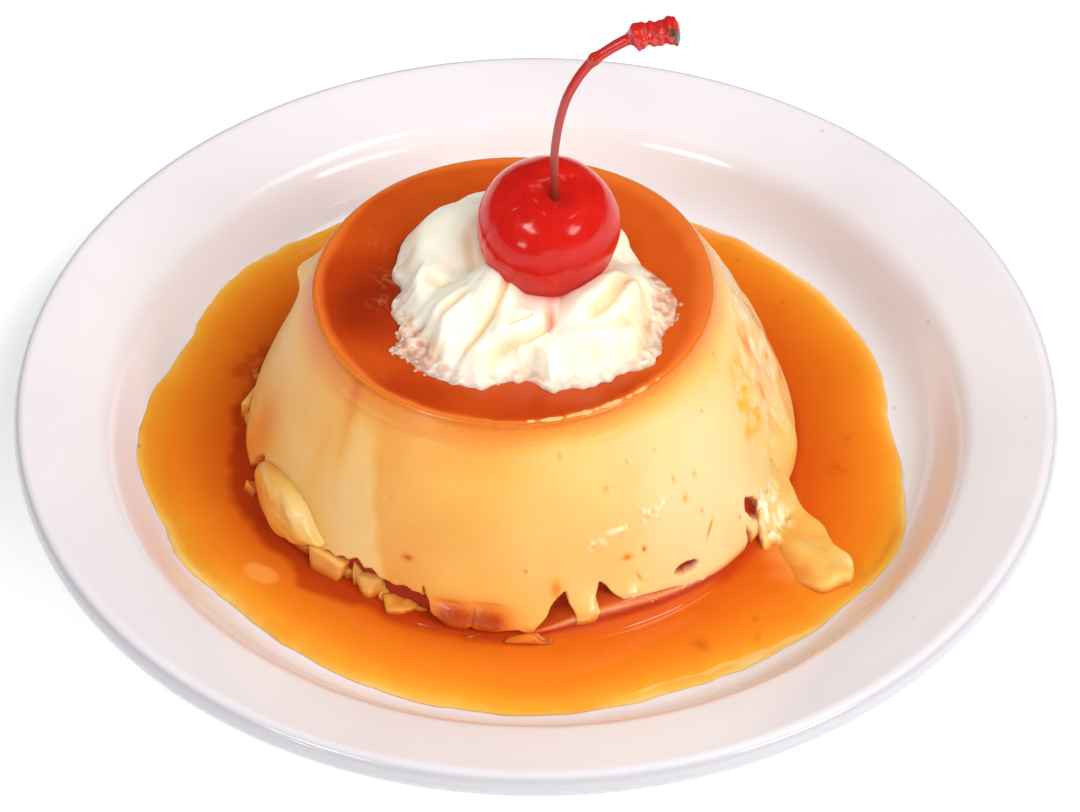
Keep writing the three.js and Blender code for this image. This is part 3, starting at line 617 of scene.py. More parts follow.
# ---- peeled flake ----
# A thin peel of custard that came loose at the left front and leans on the wall, thickest at its upper edge.
# Its outline is in mm along the wall and up it, from an azimuth and height, and it is let in by 0.7 mm.
FLAKE_AT, FLAKE_FOOT, FLAKE_LET_IN, FLAKE_GIRTH = -147.2, 6.9, 0.7, 43.5
FLAKE_LINE = [
    (-9.8, 7.8), (-9, 5.2), (-5.6, 2.6), (-1.2, 1.9), (3, 2.9), (5.6, 3.9), (8.6, 5.8), (10.6, 7),
    (8.4, 8.4), (5, 10.6), (1, 11.3), (-3.2, 11), (-7.2, 9.8)]


def pillow(outline, count, height, shares):
    """A low lump over a plan outline, in its own u, v and w: rings of the outline shrunk towards its middle
    by the first of each pair of shares, at the second times the height there. Gives them and its poles."""
    line = curve_through(outline, count, closed=True)
    x, y = line.T
    if np.sum(x * np.roll(y, -1) - np.roll(x, -1) * y) < 0:
        line = line[::-1]
    middle = line.mean(0)
    share, lift = np.array(shares).T
    plan = middle + (line - middle) * share[:, None, None]
    rings = np.dstack([plan, lift[:, None] * height(plan[..., 0], plan[..., 1])])
    return rings, (*middle, 0), (*middle, height(*middle))


ROUNDED = [
    (0.5, 0), (0.93, 0), (0.985, 0.1), (1, 0.26), (0.995, 0.42), (0.98, 0.55), (0.95, 0.67), (0.91, 0.77),
    (0.86, 0.85), (0.8, 0.91), (0.73, 0.955), (0.65, 0.985)]
ROUNDED += [(share, 1) for share in np.linspace(0.58, 0.03, 18)]


def flake_height(u, v):
    """1.7 mm thick at its foot and 0.12 mm more for each above it, waving a little along its length."""
    return 1.7 + 0.12 * v + 0.15 * np.sin(0.9 * u + 0.5 * v)


def on_wall(points):
    """The flake's own u along the wall, v up it and w out of it, set on the custard's wall."""
    u, v, w = np.moveaxis(np.asarray(points, float), -1, 0)
    azimuth, z = FLAKE_AT + np.degrees(u / FLAKE_GIRTH), FLAKE_FOOT + v
    return around(wall_centre(z), wall_radius(azimuth, z) - FLAKE_LET_IN + w, azimuth, z)


flake, low, high = pillow(FLAKE_LINE, 190, flake_height, ROUNDED)
u, v, w = np.moveaxis(flake, -1, 0)
flake = np.dstack([u, v, w + (w > 0) * (0.26 * cloud(flake, 2.6, 4) + 0.12 * cloud(flake, 1.0, 5))])
# Its stain grows towards its foot and its left; the darker left is painted shade, and the pale upper right
# edge a painted highlight.
peel = skin("peeled_flake", on_wall(flake), on_wall(low), on_wall(high),
            stain=np.clip(0.76 - 0.047 * v + 0.1 * cloud(flake, 3, 2) - 0.1 * (w - 1) - 0.014 * u, 0.02, 1),
            pale=0.15 * ease(v, 6, 9) * ease(u, -2, 5), yellow=0, wet=0.4, dark=0)
dress(peel, custard_paint, "custard_skin", "custard_flake")

# ---- torn flap ----
# A tongue of custard torn off the wall at the right front: its root stands in wet, glassy tatters against the
# wall and the rest lies out over the plate, half sunk in the sauce, which colours its low parts.
FLAP_CLEAR = 0.3
FLAP_LINE = [
    (37, -13.6), (40.4, -15), (42, -19.4), (44.9, -23), (46.4, -27.4), (48.8, -30.2), (48.6, -33.6),
    (47, -34.6), (44, -35.9), (41.2, -34.6), (37.8, -32.6), (35.4, -30.6), (35.2, -27.2), (34, -21.6)]
FLAT_TOPPED = [
    (0.5, 0), (0.93, 0), (0.97, 0.12), (0.992, 0.3), (1, 0.5), (0.995, 0.68), (0.98, 0.83), (0.955, 0.94)]
FLAT_TOPPED += [(share, 1) for share in np.linspace(0.92, 0.03, 26)]


def plate_top(radius):
    """Height of the plate's face at a distance from its middle."""
    r, z = np.array(PLATE_FACE).T
    return WELL + np.interp(radius, r, z)


def flap_height(x, y):
    """The tongue is 2.9 mm thick and thins with the square of the distance across it to the left, where it
    dips under the sauce; it climbs 7.2 mm in the last 6.5 mm before the wall, rises at its tip and waves."""
    out = np.hypot(x - FOOT[0], y - FOOT[1])
    across = np.clip(0.9 * (43 - x) + 0.35 * (-26.5 - y), 0, 7)
    height = 2.9 - 0.055 * across ** 2 * ease(out, 44, 48) + 7.2 * ease(47.2 - out, 0, 6.5) ** 1.3
    return height + 0.5 * bell(np.hypot(x - 46.8, y + 32.4), 8 ** 0.5) + 0.2 * np.sin(0.9 * x + 0.8 * y)


def spot(points, x, y, radius, power=2):
    """1 at a place in plan, falling to 0: exp(-(distance / radius)^power)."""
    return bell(seen_from((x, y), points)[0], radius, power)


flap, low, high = pillow(FLAP_LINE, 320, flap_height, FLAT_TOPPED)
out, side = seen_from(FOOT, flap)
tatter = ease(48.4 - out, 0, 3) * ease(-side, 22, 26)
grow = tatter * (0.9 * cloud(flap, 1.7, 6) + 0.8 * cloud(flap, 0.85, 7) + 0.3 * cloud(flap, 0.45, 3))
grow = (flap[..., 2] > 0.2) * (grow + 0.26 * cloud(flap, 3.2, 8) + 0.09 * cloud(flap, 1.3, 9))
flap[..., 2] += plate_top(seen_from(MIDDLE, flap)[0]) + FLAP_CLEAR + grow
floor_z = plate_top(np.hypot(*low[:2])) + FLAP_CLEAR
sunk = unit(1.0 - (flap[..., 2] - 7.3) / 1.5)
tip = spot(flap, 48.4, -32.0, 2 ** 0.5) * ease(cloud(flap, 0.9, 2), -0.3, 0.3)
# Its pale tip and tatters are painted highlights.
tongue = skin("torn_flap", flap, (*low[:2], floor_z), (*high[:2], floor_z + high[2]),
              stain=unit(0.2 * (1 - tatter) + 0.42 * sunk ** 1.5 + 0.1 * cloud(flap, 3, 3)),
              pale=unit(0.8 * tatter * ease(cloud(flap, 0.9, 9), -0.1, 0.4) + 0.6 * tip + 0.1),
              yellow=0, wet=unit(0.35 + tatter + tip), dark=0)
dress(tongue, custard_paint, "custard_skin", "torn_custard")

# ---- caramel sauce ----
# Thin syrup from the burnt sugar, run down into the well of the plate: deep orange where it is deep by the
# custard, yellow where it thins out at the pool's uneven edge, and drawn up a little at the custard's foot.
SAUCE_DEPTH, SAUCE_RADIUS, SAUCE_INNER, WETTED = 1.8, 59.2, 39.8, 43.9
# Where the pool reaches further out or less far: azimuth, width, amount.
POOL_EDGE = [
    (140, 30, 3), (148, 10, 1), (-173, 19, 4.6), (-150, 6, 1.2), (-25, 11, 3.1), (2, 9, -1.4),
    (-70, 12, -0.9), (-40, 9, 0.7), (-152, 8, 0.9)]
# Darker spots: x, y, half width; the three on the left by the custard's foot are painted shade.
DARK_SPOTS = [
    (48.2, -9.7, 1.4), (33, -41, 0.7), (24.7, -46.5, 1.3), (33.7, -45, 0.9), (50.5, -2, 0.9),
    (24, -35.4, 0.8), (40.8, -17, 1.1), (-49, 12.5, 2), (-45.8, 17.6, 2), (-47.6, 15, 1.6)]


def humps(azimuth, table):
    """A sum of Gaussians of azimuth: centre, width, amount."""
    return sum(amount * bell(apart(azimuth, at), wide) for at, wide, amount in table)


turns = np.linspace(-180, 180, 720, endpoint=False)
rim_line = around(MIDDLE, 55, turns, 0)
pool = SAUCE_RADIUS + humps(turns, POOL_EDGE) + 0.4 * cloud(rim_line, 6, 2) + 0.2 * cloud(rim_line, 2.2, 3)
share = np.r_[1 - np.linspace(0, 1, 14) ** 1.6 * 0.12, np.linspace(0.86, 0.42, 20), np.linspace(0.41, 0, 52)]
share = share[:, None]
face_r = SAUCE_INNER + (pool - SAUCE_INNER) * share
floor_r = SAUCE_INNER + (pool - SAUCE_INNER) * np.linspace(0, 0.985, 8)[:, None]
bed = around(MIDDLE, floor_r, turns, plate_top(floor_r) + 0.02)
plan = around(MIDDLE, face_r, turns, 0)
out, side = seen_from(FOOT, plan)
off, clear = out - WETTED, np.maximum(out - WETTED, 0)
# The film climbs highest at the right front, in a smooth bank up to the line where it wets the wall.
bank = ease(apart(side, -90), 0, 8) * ease(-apart(side, -45), 0, 6)
rise = np.maximum(np.interp(side, *FILM_LINE) - 7.5, 0)
climb = bell(np.maximum(off + 0.5, 0), 1.0, 1.4)
creep = rise * climb + bell(clear, 0.7, 1.7) * (
    0.35 + 0.4 * ease(apart(side, -115), -4, 6) * ease(-side, 30, 44))
# The face is the lower of the pool's level and the lens of its thin edge, blended smoothly by
# -log(exp(-5a) + exp(-5b)) / 5.
top = np.maximum(WELL + SAUCE_DEPTH - 0.55 * share ** 3, plate_top(face_r) + 0.85)
lens = plate_top(face_r) + 0.04 + np.clip((pool - face_r) / 3.0, 0, 4) ** 0.8 * 2.1
top = np.minimum(-np.log(np.exp(-5 * top) + np.exp(-5 * lens)) / 5, lens) + creep
top += (0.05 * cloud(plan, 9, 4) + 0.025 * cloud(plan, 2.5, 5)) * unit(off / 3) * (share < 0.97)
plan[..., 2] = top
reach = 0.9 + 2.0 * (1 - ease(np.abs(apart(side, -168)), 30, 50))
jag = reach * (1 + 0.5 * cloud(around(FOOT, 46, side, 0), 4.2, 6) + 0.2 * cloud(plan, 1.6, 7))
spots = sum(spot(plan, *dark_spot) for dark_spot in DARK_SPOTS) * ease(cloud(plan, 1.2, 6), -0.7, 0.3)
# Painted shade: a dark red band along the custard's foot, a darker ring under the bank's painted highlight, a
# broad darkening near the foot, and the darker spots.
shade = 0.7 * ease(jag - off, -1.0, 0.9) * (1 - 0.75 * bank) + 0.85 * bank * bell(climb - 0.56, 0.14)
shade += 0.2 * bell(clear, 4.5, 1) + 0.5 * spots
# A crumb wholly under the surface shows through as a paler patch, and so does the flap's sunk side.
u, v = plan[..., 0] + 42.4, plan[..., 1] + 31.9
crumb_under = 1 - np.hypot((0.87 * u - 0.5 * v) / 3.0, (0.5 * u + 0.87 * v) / 1.7)
crumb_under = ease(crumb_under + 0.45 * cloud(plan, 1.6, 8), -0.1, 0.35)
flap_under = ease(1 - seen_from((41.2, -28.5), plan)[0] / 7.6 + 0.12 * cloud(plan, 2.2, 5), 0, 0.75)
plan[..., 2] += 0.12 * crumb_under
# A painted highlight along the wet crest of the bank.
pale_band = bank * bell(climb - 0.83, 0.1) * (0.8 + 0.2 * cloud(plan, 2, 3))


def above(base, **masks):
    """Masks of a face, with zeros for the rings of the base under it."""
    return {name: np.concatenate([0 * base[..., 0], value]) for name, value in masks.items()}


sauce = skin("caramel_pool", np.concatenate([bed, plan]),
             **above(bed, edge=unit((pool - face_r) / 16), near=unit(shade), bank=unit(pale_band),
                     under=np.maximum(crumb_under, flap_under)))

syrup, tree, shader = surface_paint("caramel_syrup", IOR=1.38, Subsurface_Weight=0.15,
                                    Subsurface_Scale=0.002, Subsurface_Radius=(1.0, 0.4, 0.1))
broad, fine = grouped(tree, mottle, 60, 700)
speck = grouped(tree, specks, 165, 0.05, 0.12, 0.7, 0.8)[0]
thinness = maths(tree, "ADD", "edge", scaled(tree, broad, 0.3, 0.7, -0.05, 0.05))
colour = steps(tree, thinness, (0, 248, 198, 108), (0.03, 246, 180, 74), (0.1, 244, 156, 42),
               (0.3, 236, 131, 29), (0.6, 229, 112, 23), (1, 221, 95, 19))
colour = over(tree, colour, "near", (178, 50, 13))
colour = over(tree, colour, "under", (246, 158, 74), 0.65)
# The bank colour is a painted highlight.
colour = over(tree, colour, "bank", (238, 176, 124), 0.85)
colour = mix(tree, scaled(tree, speck, 0, 1, 0, 0.5), colour, (160, 66, 14))
wire(shader, Base_Color=colour, Roughness=scaled(tree, fine, 0.3, 0.7, 0.04, 0.09))
bumped(tree, shader, broad, 0.0002, 0.2)
dress(sauce, syrup, "sauce", "caramel_sauce")

# ---- caramel cap ----
# The layer of caramel that lay at the bottom of the cup, now on top: a wet film on the custard, with a
# rounded, slightly ragged lip just inside its shoulder, and a little dished.
LIP_ROUND, LIP_THICK, DISH = 0.55, 0.28, 1.15
# Faint traces of melted cream lie on the film to the left of the dollop: x, y, half width, amount.
TRACES = [
    (-25.2, 11.2, 1.2, 0.6), (-24.8, 7.6, 1.5, 0.6), (-23.7, 1.4, 1.7, 0.9), (-22.5, -0.6, 1.3, 0.9),
    (-18.2, 14.9, 1.5, 0.4), (-17.1, 12.5, 1.4, 0.4), (-24.2, -5, 1.4, 0.9), (-22, -4.6, 1.2, 1)]
turns = np.linspace(-180, 180, 600, endpoint=False)
circle = around(TOP, 30, turns, 0)


def cap_height(share):
    """The cap's face is dished by 1.15 mm, falling with 1 - share^2 from its crest."""
    return TOP_Z - DISH * (1 - share ** 2)


lip = wall_radius(turns, TOP_Z + 0 * turns) - 0.12 + 0.2 * cloud(circle, 4.2, 2) + 0.1 * cloud(circle, 1.5, 3)
lip += bell(apart(turns, -68), 32, 4) * (0.12 + 0.3 * cloud(circle, 1.1, 4))
rings = [around(TOP, lip - 3.0, turns, TOP_Z - 1.3), around(TOP, lip - 0.9, turns, TOP_Z - 0.7)]
for bend in np.radians(np.linspace(-70, 90, 14)):
    rings.append(around(TOP, lip - LIP_ROUND + LIP_ROUND * np.cos(bend), turns,
                        TOP_Z - LIP_THICK + LIP_THICK * np.sin(bend)))
for share in np.r_[np.linspace(0.98, 0.85, 18), np.linspace(0.83, 0.04, 58)]:
    flat = around(TOP, (lip - LIP_ROUND) * share, turns, cap_height(share))
    flat[:, 2] += (0.06 * cloud(flat, 8, 4) + 0.035 * cloud(flat, 2.4, 5)) * ease(1 - share, 0, 0.1)
    rings.append(flat)
rings = np.array(rings)
reach, side = seen_from(TOP, rings)
# The film is thin, and lighter, near its lip: in a wide band on the left and a narrow one in front.
band = 0.45 + 0.9 * bell(apart(side, 178), 40, 4) + 1.8 * bell(apart(side, 40), 70, 4)
thin = 1 - ease((lip - reach) * (1 + 0.3 * cloud(rings, 4, 2)), 0.2 * band, 1.6 * band)
traces = sum(amount * spot(rings, *place_at) for *place_at, amount in TRACES)
deep = 0.15 + 0.75 * bell(rings[..., 0] + 26, 11) * bell(rings[..., 1] + 3, 13)
deep += 0.35 * ease(-rings[..., 1], 16, 26) - 0.35 * ease(rings[..., 0], 12, 24)
cap = skin("caramel_cap", rings, (*TOP, TOP_Z - 1.4), (*TOP, cap_height(0)), rim=thin, deep=unit(deep),
           trace=unit(traces * ease(0.22 - np.abs(cloud(rings, 1.1, 6)), 0, 0.15)))

film_paint, tree, shader = surface_paint(
    "caramel_film", IOR=1.3, Coat_Weight=0.1, Coat_Roughness=0.06, Coat_IOR=1.3, Subsurface_Weight=0.12,
    Subsurface_Scale=0.0015, Subsurface_Radius=(1.0, 0.4, 0.1))
broad, fine = grouped(tree, mottle, 75, 900)
sway = maths(tree, "ADD", "deep", scaled(tree, broad, 0.3, 0.7, -0.18, 0.18))
colour = steps(tree, sway, (0, 217, 90, 26), (0.35, 200, 74, 19), (0.6, 183, 58, 14), (1, 150, 41, 10))
colour = over(tree, colour, "rim", (236, 116, 44))
colour = over(tree, colour, "trace", (230, 150, 104), 0.26)
wire(shader, Base_Color=colour, Roughness=scaled(tree, fine, 0.3, 0.7, 0.14, 0.24))
bumped(tree, shader, fine, 0.00005, 0.4, bumped(tree, shader, broad, 0.0003, 0.3))
dress(cap, film_paint, "caramel", "caramel_top")

# ---- syrup drops on the lip ----
# Small drops of the same syrup, hanging along the front of the cap's lip where it was last tipped.
# Azimuth, length along the lip, width, height.
LIP_DROPS = [
    (-84.6, 1.6, 0.45, 0.4), (-78.6, 3.6, 0.6, 0.5), (-73.2, 1.5, 0.5, 0.6), (-69.6, 3.2, 0.9, 0.7),
    (-65.6, 1, 0.5, 0.5), (-60.9, 3.9, 0.7, 0.7), (-55, 1.3, 0.5, 0.5), (-50.9, 2.6, 0.6, 0.5),
    (-44.5, 0.9, 0.4, 0.4)]
DROP_RADIUS, DROP_Z = 30.4, TOP_Z - 0.12
at, long, wide, high = np.array(LIP_DROPS).T[..., None, None]
lat = np.radians(np.linspace(-80, 80, 13))[:, None]
drop = lathe(np.cos(lat), np.sin(lat), full_turn(28)) / 2
uneven = drop * np.array(LIP_DROPS)[:, None, None, 1:] + at[..., None]
bulge = drop * (1 + 0.5 * cloud(uneven, 0.7, 5)[..., None])
azimuth = at + np.degrees(drop[..., 0] * long / TOP_RADIUS)
drops = around(TOP, DROP_RADIUS + 1.2 * wide * bulge[..., 1], azimuth, DROP_Z + bulge[..., 2] * high)
ends = [around(TOP, DROP_RADIUS, at[:, 0, 0], DROP_Z + way * high[:, 0, 0]) for way in (-0.5, 0.5)]
# Their pale colour from the bank mask is a painted highlight.
lip_drops = skin("lip_drops", drops, *ends, edge=0.03, near=0, bank=0.6, under=0)
dress(lip_drops, syrup, "caramel")

# ---- whipped cream ----
# Cream whipped to soft peaks and spooned on: lobes folded over each other round the cherry, melting at the
# edge into a lace of bubbles on the warm caramel.
CREAM_MIDDLE, CREAM_RADIUS, CREAM_HEIGHT = np.array([-1.2, -3.2]), 22.0, 7.0
CHERRY_MIDDLE, CHERRY_RADIUS = np.array([1.7, -1.9, 51.5]), 10.8
# Where its edge reaches further out or less far: azimuth, width, amount.
CREAM_EDGE = [
    (-50, 22, 1.7), (-10, 14, 1), (-135, 20, 1), (-96, 10, -1.6), (24, 20, -3.4), (-163, 8, -1.5),
    (140, 26, 0.6), (85, 34, -2.6), (178, 9, -2.2), (-147, 3, 1.6), (-90, 5, -1.6), (-42, 5, 1.4),
    (-85, 30, -0.8)]
# Lobes: x, y, half length, half width, turn in degrees, height over the caramel, how far it rounds off.
LOBES = [
    (-11, 4.5, 10.8, 9.5, 0, 10.2, 10.2), (-7.5, 6.6, 7.2, 8.2, 0, 11.8, 9),
    (-11.2, -10, 6.6, 5.2, 60, 7.5, 4.6), (-6.2, -8.6, 6, 4.2, 105, 11, 4.8),
    (-14, -15.4, 4.6, 3.8, 60, 4.8, 3.8), (-17.8, -8.6, 4.8, 3.8, 100, 4.4, 3.4),
    (-1.8, -15.6, 5.2, 4.3, 20, 7.6, 4.6), (0.2, -11.6, 4.8, 3.8, 0, 7.2, 3),
    (-9.2, -20.4, 2.6, 3.8, 10, 4.6, 3.6), (-4, -21.8, 3.6, 2.6, 0, 3.5, 2.8),
    (7.6, -18.4, 8.2, 5.4, 10, 6.3, 5), (2.6, -21.8, 4, 3, 0, 3.8, 3), (9.6, -10.6, 7.4, 4.8, 40, 10.2, 4.8),
    (16.8, -10.4, 4.4, 5.8, 10, 4.4, 3.4), (13.2, -4.6, 4.8, 5.6, 0, 6, 4.4),
    (14.4, -16.6, 4.8, 3.8, -20, 4.1, 3.4), (9, 6, 6.5, 6.5, 0, 6, 4.6), (1, 11.5, 7, 5, 0, 7.2, 4.8),
    (-16.5, -2.4, 5.6, 5, 90, 6.8, 4.4)]
# Creases between the folds: the points of a line, then its half width, its depth, and how far the fold on its
# left rolls up beside it (on its right where that is negative).
CREASES = [
    ([(-5.5, -5.8), (-4.4, -9.1), (-5.7, -13), (-8.4, -16.2), (-10.3, -18.7),
     (-11.7, -21.4)], 0.6, 1.1, 0.5),
    ([(1.6, -11), (1.8, -15.7), (-0.5, -18), (-3.9, -19), (-6.1, -20),
     (-6.8, -21.8), (-6.1, -24.5)], 0.6, 1.3, -0.7),
    ([(-4.6, -16.7), (-2.4, -16.2), (-0.3, -14.9)], 0.45, 0.6, 0.3),
    ([(6.6, -15.8), (10.5, -13.2), (12.8, -9), (14.8, -5.8)], 0.9, 1.1, 0.4),
    ([(-3.2, -20.2), (-0.8, -21.7), (1.6, -23.4)], 0.6, 0.8, 0.4),
    ([(-15.2, -13.4), (-12.5, -11.6), (-10.2, -9.2)], 0.7, 0.7, -0.3),
    ([(-10.8, 2.6), (-9.5, -2.9), (-8.6, -7)], 1, 0.5, 0.2),
    ([(14.6, -5.1), (16.6, -9.7), (15.9, -15.8), (14, -20)], 0.7, 0.7, -0.3),
    ([(-16.2, -14), (-15.3, -17.4), (-13.6, -19.6)], 0.6, 0.7, 0.3),
    ([(2.6, -19.4), (6.4, -20.4), (10.4, -19.6)], 0.5, 0.3, 0.2),
    ([(-17.6, -4.4), (-14.4, -6.2), (-12.4, -5.2)], 0.7, 0.5, 0.2),
    ([(3.4, 12.6), (7.4, 9.6), (10.6, 11)], 0.8, 0.7, 0.3),
    ([(-9, 13.2), (-5.2, 11), (-3.4, 15.2)], 0.8, 0.7, 0.3),
    ([(12.4, 1.2), (16, -0.6), (18.6, -0.2)], 0.7, 0.5, 0.2)]
CREASE_STEPS, LOBE_BLEND, SMOOTHINGS = 23, 2.2, 220
turns = np.linspace(-180, 180, 560, endpoint=False)
circle = around(CREAM_MIDDLE, 20, turns, 0)
ragged = 0.25 + 0.75 * ease(-np.sin(np.radians(turns + 8)), -0.35, 0.2)
fringe = CREAM_RADIUS + humps(turns, CREAM_EDGE)
fringe += ragged * (cloud(circle, 3.0, 2) + 0.6 * cloud(circle, 1.2, 3))
shares = np.r_[np.linspace(0.03, 0.80, 80), np.linspace(0.81, 1.0, 44)]
SHARE, TURN = np.meshgrid(shares, turns, indexing="ij")
plan = around(CREAM_MIDDLE, fringe * SHARE, TURN, 0)
x, y = plan[..., 0], plan[..., 1]


def oval(x, y, long, wide, lean):
    """Distance from an ellipse's middle as a share of its radius that way."""
    c, s = np.cos(np.radians(lean)), np.sin(np.radians(lean))
    return np.hypot((x * c + y * s) / long, (y * c - x * s) / wide)


def beside(plan, points):
    """Distance from a curve through the points, less than 0 on its right, and the share of the way along."""
    line = curve_through(points, CREASE_STEPS + 1)
    step = np.diff(line, axis=0)
    off = plan[..., None, :2] - line[:-1]
    share = unit((off * step).sum(-1) / (step ** 2).sum(-1))
    off = off - share[..., None] * step
    far = np.hypot(off[..., 0], off[..., 1])
    far *= np.where(step[:, 0] * off[..., 1] < step[:, 1] * off[..., 0], -1, 1)
    near = np.abs(far).argmin(-1)[..., None]
    along = (share + np.arange(CREASE_STEPS)) / CREASE_STEPS
    return np.take_along_axis(far, near, -1)[..., 0], np.take_along_axis(along, near, -1)[..., 0]


def on_cap(plan):
    """Height of the cap's face under points."""
    return cap_height(seen_from(TOP, plan)[0] / TOP_RADIUS)


# Each lobe is its height less its rounding times 1 - (1 - d^2)^0.7, d from its oval; the dollop follows the
# highest lobe at each place, smoothly: log(sum(exp(b h))) / b, b being the blend.
domes = [CREAM_HEIGHT * unit(1 - SHARE ** 2.7) ** 0.6 - 1.2]
for lobe_x, lobe_y, long, wide, lean, high, round_off in LOBES:
    d = oval(x - lobe_x, y - lobe_y, long, wide, lean)
    domes.append(high - round_off * (1 - unit(1 - d * d) ** 0.7) - 5 * np.maximum(d - 1, 0))
dome = smooth = np.log(np.exp(LOBE_BLEND * np.array(domes)).sum(0)) / LOBE_BLEND
# The spoon has half smoothed the lobes into each other, then folded them along the creases.
for _ in range(SMOOTHINGS):
    smooth = (smooth + np.roll(smooth, 1, 1) + np.roll(smooth, -1, 1) + np.vstack([smooth[:1], smooth[:-1]])
              + np.vstack([smooth[1:], smooth[-1:]])) / 5
# Painted shade: tan in the hollows that the smoothing fills and along the creases.
fold = 0.7 * ease(smooth - dome, 0.3, 1.8)
dome = dome + 0.55 * (smooth - dome)
for points, wide, deep, roll in CREASES:
    far, along = beside(plan, points)
    taper = ease(along, 0, 0.2) * ease(1 - along, 0, 0.2)
    dome += taper * (abs(roll) * bell(np.sign(roll) * far - 1.7, 1.2) - deep * bell(far, wide))
    fold = np.maximum(fold, 1.25 * min(deep, 1) * taper * bell(far, 1.1 * wide))
dome = np.minimum(dome, 12 * unit(1 - SHARE ** 3.5) ** 0.6)
fade = unit(dome / 4) * (SHARE < 0.995)
dome += fade * (0.34 * cloud(plan, 4, 4) + 0.08 * cloud(plan, 1.8, 5))
fold = unit(fold * (0.85 + 0.4 * cloud(plan, 4, 9)) + 0.12 * ease(cloud(plan, 5, 6), 0, 0.6)) * fade
# The rim melts into a low froth, widest at the left front and on the right.
melt = 0.80 - 0.13 * bell(apart(TURN, -147), 11) - 0.07 * bell(apart(TURN, -14), 16)
lace = ease(SHARE, melt, melt + 0.15) * ragged
dome = dome * (1 - 0.7 * lace) + lace * (0.4 * cloud(plan, 0.9, 7) + 0.25 * cloud(plan, 1.9, 8))
# The cherry has pressed its own seat into the cream.
gap = seen_from(CHERRY_MIDDLE, plan)[0]
under_cherry = CHERRY_MIDDLE[2] - np.sqrt(np.maximum(CHERRY_RADIUS ** 2 - gap ** 2, 0)) * 0.985 - 0.12
seat = on_cap(plan)
crest = seat + np.maximum(dome * unit((1 - SHARE) / 0.012) ** 0.5, 0.04)
crest = np.where(gap < CHERRY_RADIUS - 0.1, np.minimum(crest, under_cherry), crest)
plan[..., 2] = crest = np.maximum(crest, seat + 0.04)
base = around(CREAM_MIDDLE, fringe * np.array([[0.4], [0.9]]), turns, 0)
base[..., 2] = on_cap(base) + 0.02
thin = unit(1 - ease(crest - seat, 0.3, 2.6) + 0.4 * lace * cloud(plan, 0.8, 2))
thin += 0.45 * spot(plan, 19.4, -3.5, 5.5, 4) * ease(SHARE, 0.72, 0.86)
frothy = bell(apart(TURN, -147), 20) + bell(apart(TURN, -12), 24)
frothy += 0.3 * ease(cloud(circle, 4.0, 7), -0.2, 0.5)
thin = unit(thin * (0.5 + 0.5 * unit(frothy)))
# It is warmer on the right. By the cherry it is painted pink: round the cherry's base a painted reflection of
# its red, and a streak down the crease in front.
fold = unit(fold + 0.3 * ease(x, 5, 17))
blush = 0.6 * bell(np.maximum(gap - 8.8, 0), 0.8, 1) * ease(53 - crest, 0, 4)
blush += 0.55 * bell(x - 2.1, 0.45 + 0.7 * ease(y, -17.5, -12.5)) * ease(y, -18.4, -16.6) * ease(-y, 5, 8)
cream = skin("whipped_dollop", np.concatenate([base, plan[::-1]]), (*CREAM_MIDDLE, 38.3),
             (*CREAM_MIDDLE, crest[0].mean()),
             **above(base, fold=fold[::-1], thin=thin[::-1], blush=unit(blush)[::-1]))

# Its faint emission is painted light, brightening the shaded side.
cream_paint, tree, shader = surface_paint(
    "whipped_cream", Roughness=0.38, Subsurface_Weight=0.4, Subsurface_Scale=0.003,
    Subsurface_Radius=(1.0, 0.85, 0.6), Coat_Weight=0.15, Coat_Roughness=0.3,
    Emission_Color=tint(255, 244, 220), Emission_Strength=0.07)
broad, fine = grouped(tree, mottle, 180, 800)
bubbly = steps(tree, fine, (0.32, 196, 104, 68), (0.48, 218, 148, 114), (0.58, 230, 178, 150),
               (0.68, 248, 226, 206))
colour = steps(tree, broad, (0.3, 247, 239, 216), (0.6, 251, 246, 229))
# The tan over the folds is painted shade.
colour = over(tree, colour, "fold", (238, 200, 138), 0.8)
colour = mix(tree, scaled(tree, "thin", 0.25, 0.9, 0, 0.9), colour, bubbly)
# The pink round the cherry's base is a painted reflection.
colour = over(tree, colour, "blush", (244, 140, 134))
wire(shader, Base_Color=colour)
bumped(tree, shader, fine, 0.00012, 0.5)
dress(cream, cream_paint, "cream", "whipped_cream")

# ---- cream froth ----
# Burst bubbles and specks of melting cream, left on the caramel round the front and the sides of the dollop.
FROTH_FLAT = 0.4
draw = np.random.default_rng(21)
at = np.concatenate([draw.normal(-148, 8, 46), draw.normal(-14, 13, 30), draw.uniform(-110, -50, 8)])
far = np.interp(at, turns, fringe) + draw.uniform(-1.3, 0.4, len(at))
size = draw.uniform(0.14, 0.5, len(at))
lat = np.radians(np.linspace(-75, 75, 7))[:, None]
bead = lathe(np.cos(lat), FROTH_FLAT * np.sin(lat), full_turn(10))
spots = around(CREAM_MIDDLE, far, at, 0)
spots[:, 2] = on_cap(spots) + 0.2 * size
beads = bead * size[:, None, None, None] + spots[:, None, None]
up = np.array([0, 0, FROTH_FLAT]) * size[:, None]
froth = skin("cream_froth", beads, spots - up, spots + up, fold=0, thin=0.95 + 0.25 * cloud(beads, 1.5, 2),
             blush=0)
dress(froth, cream_paint, "cream")

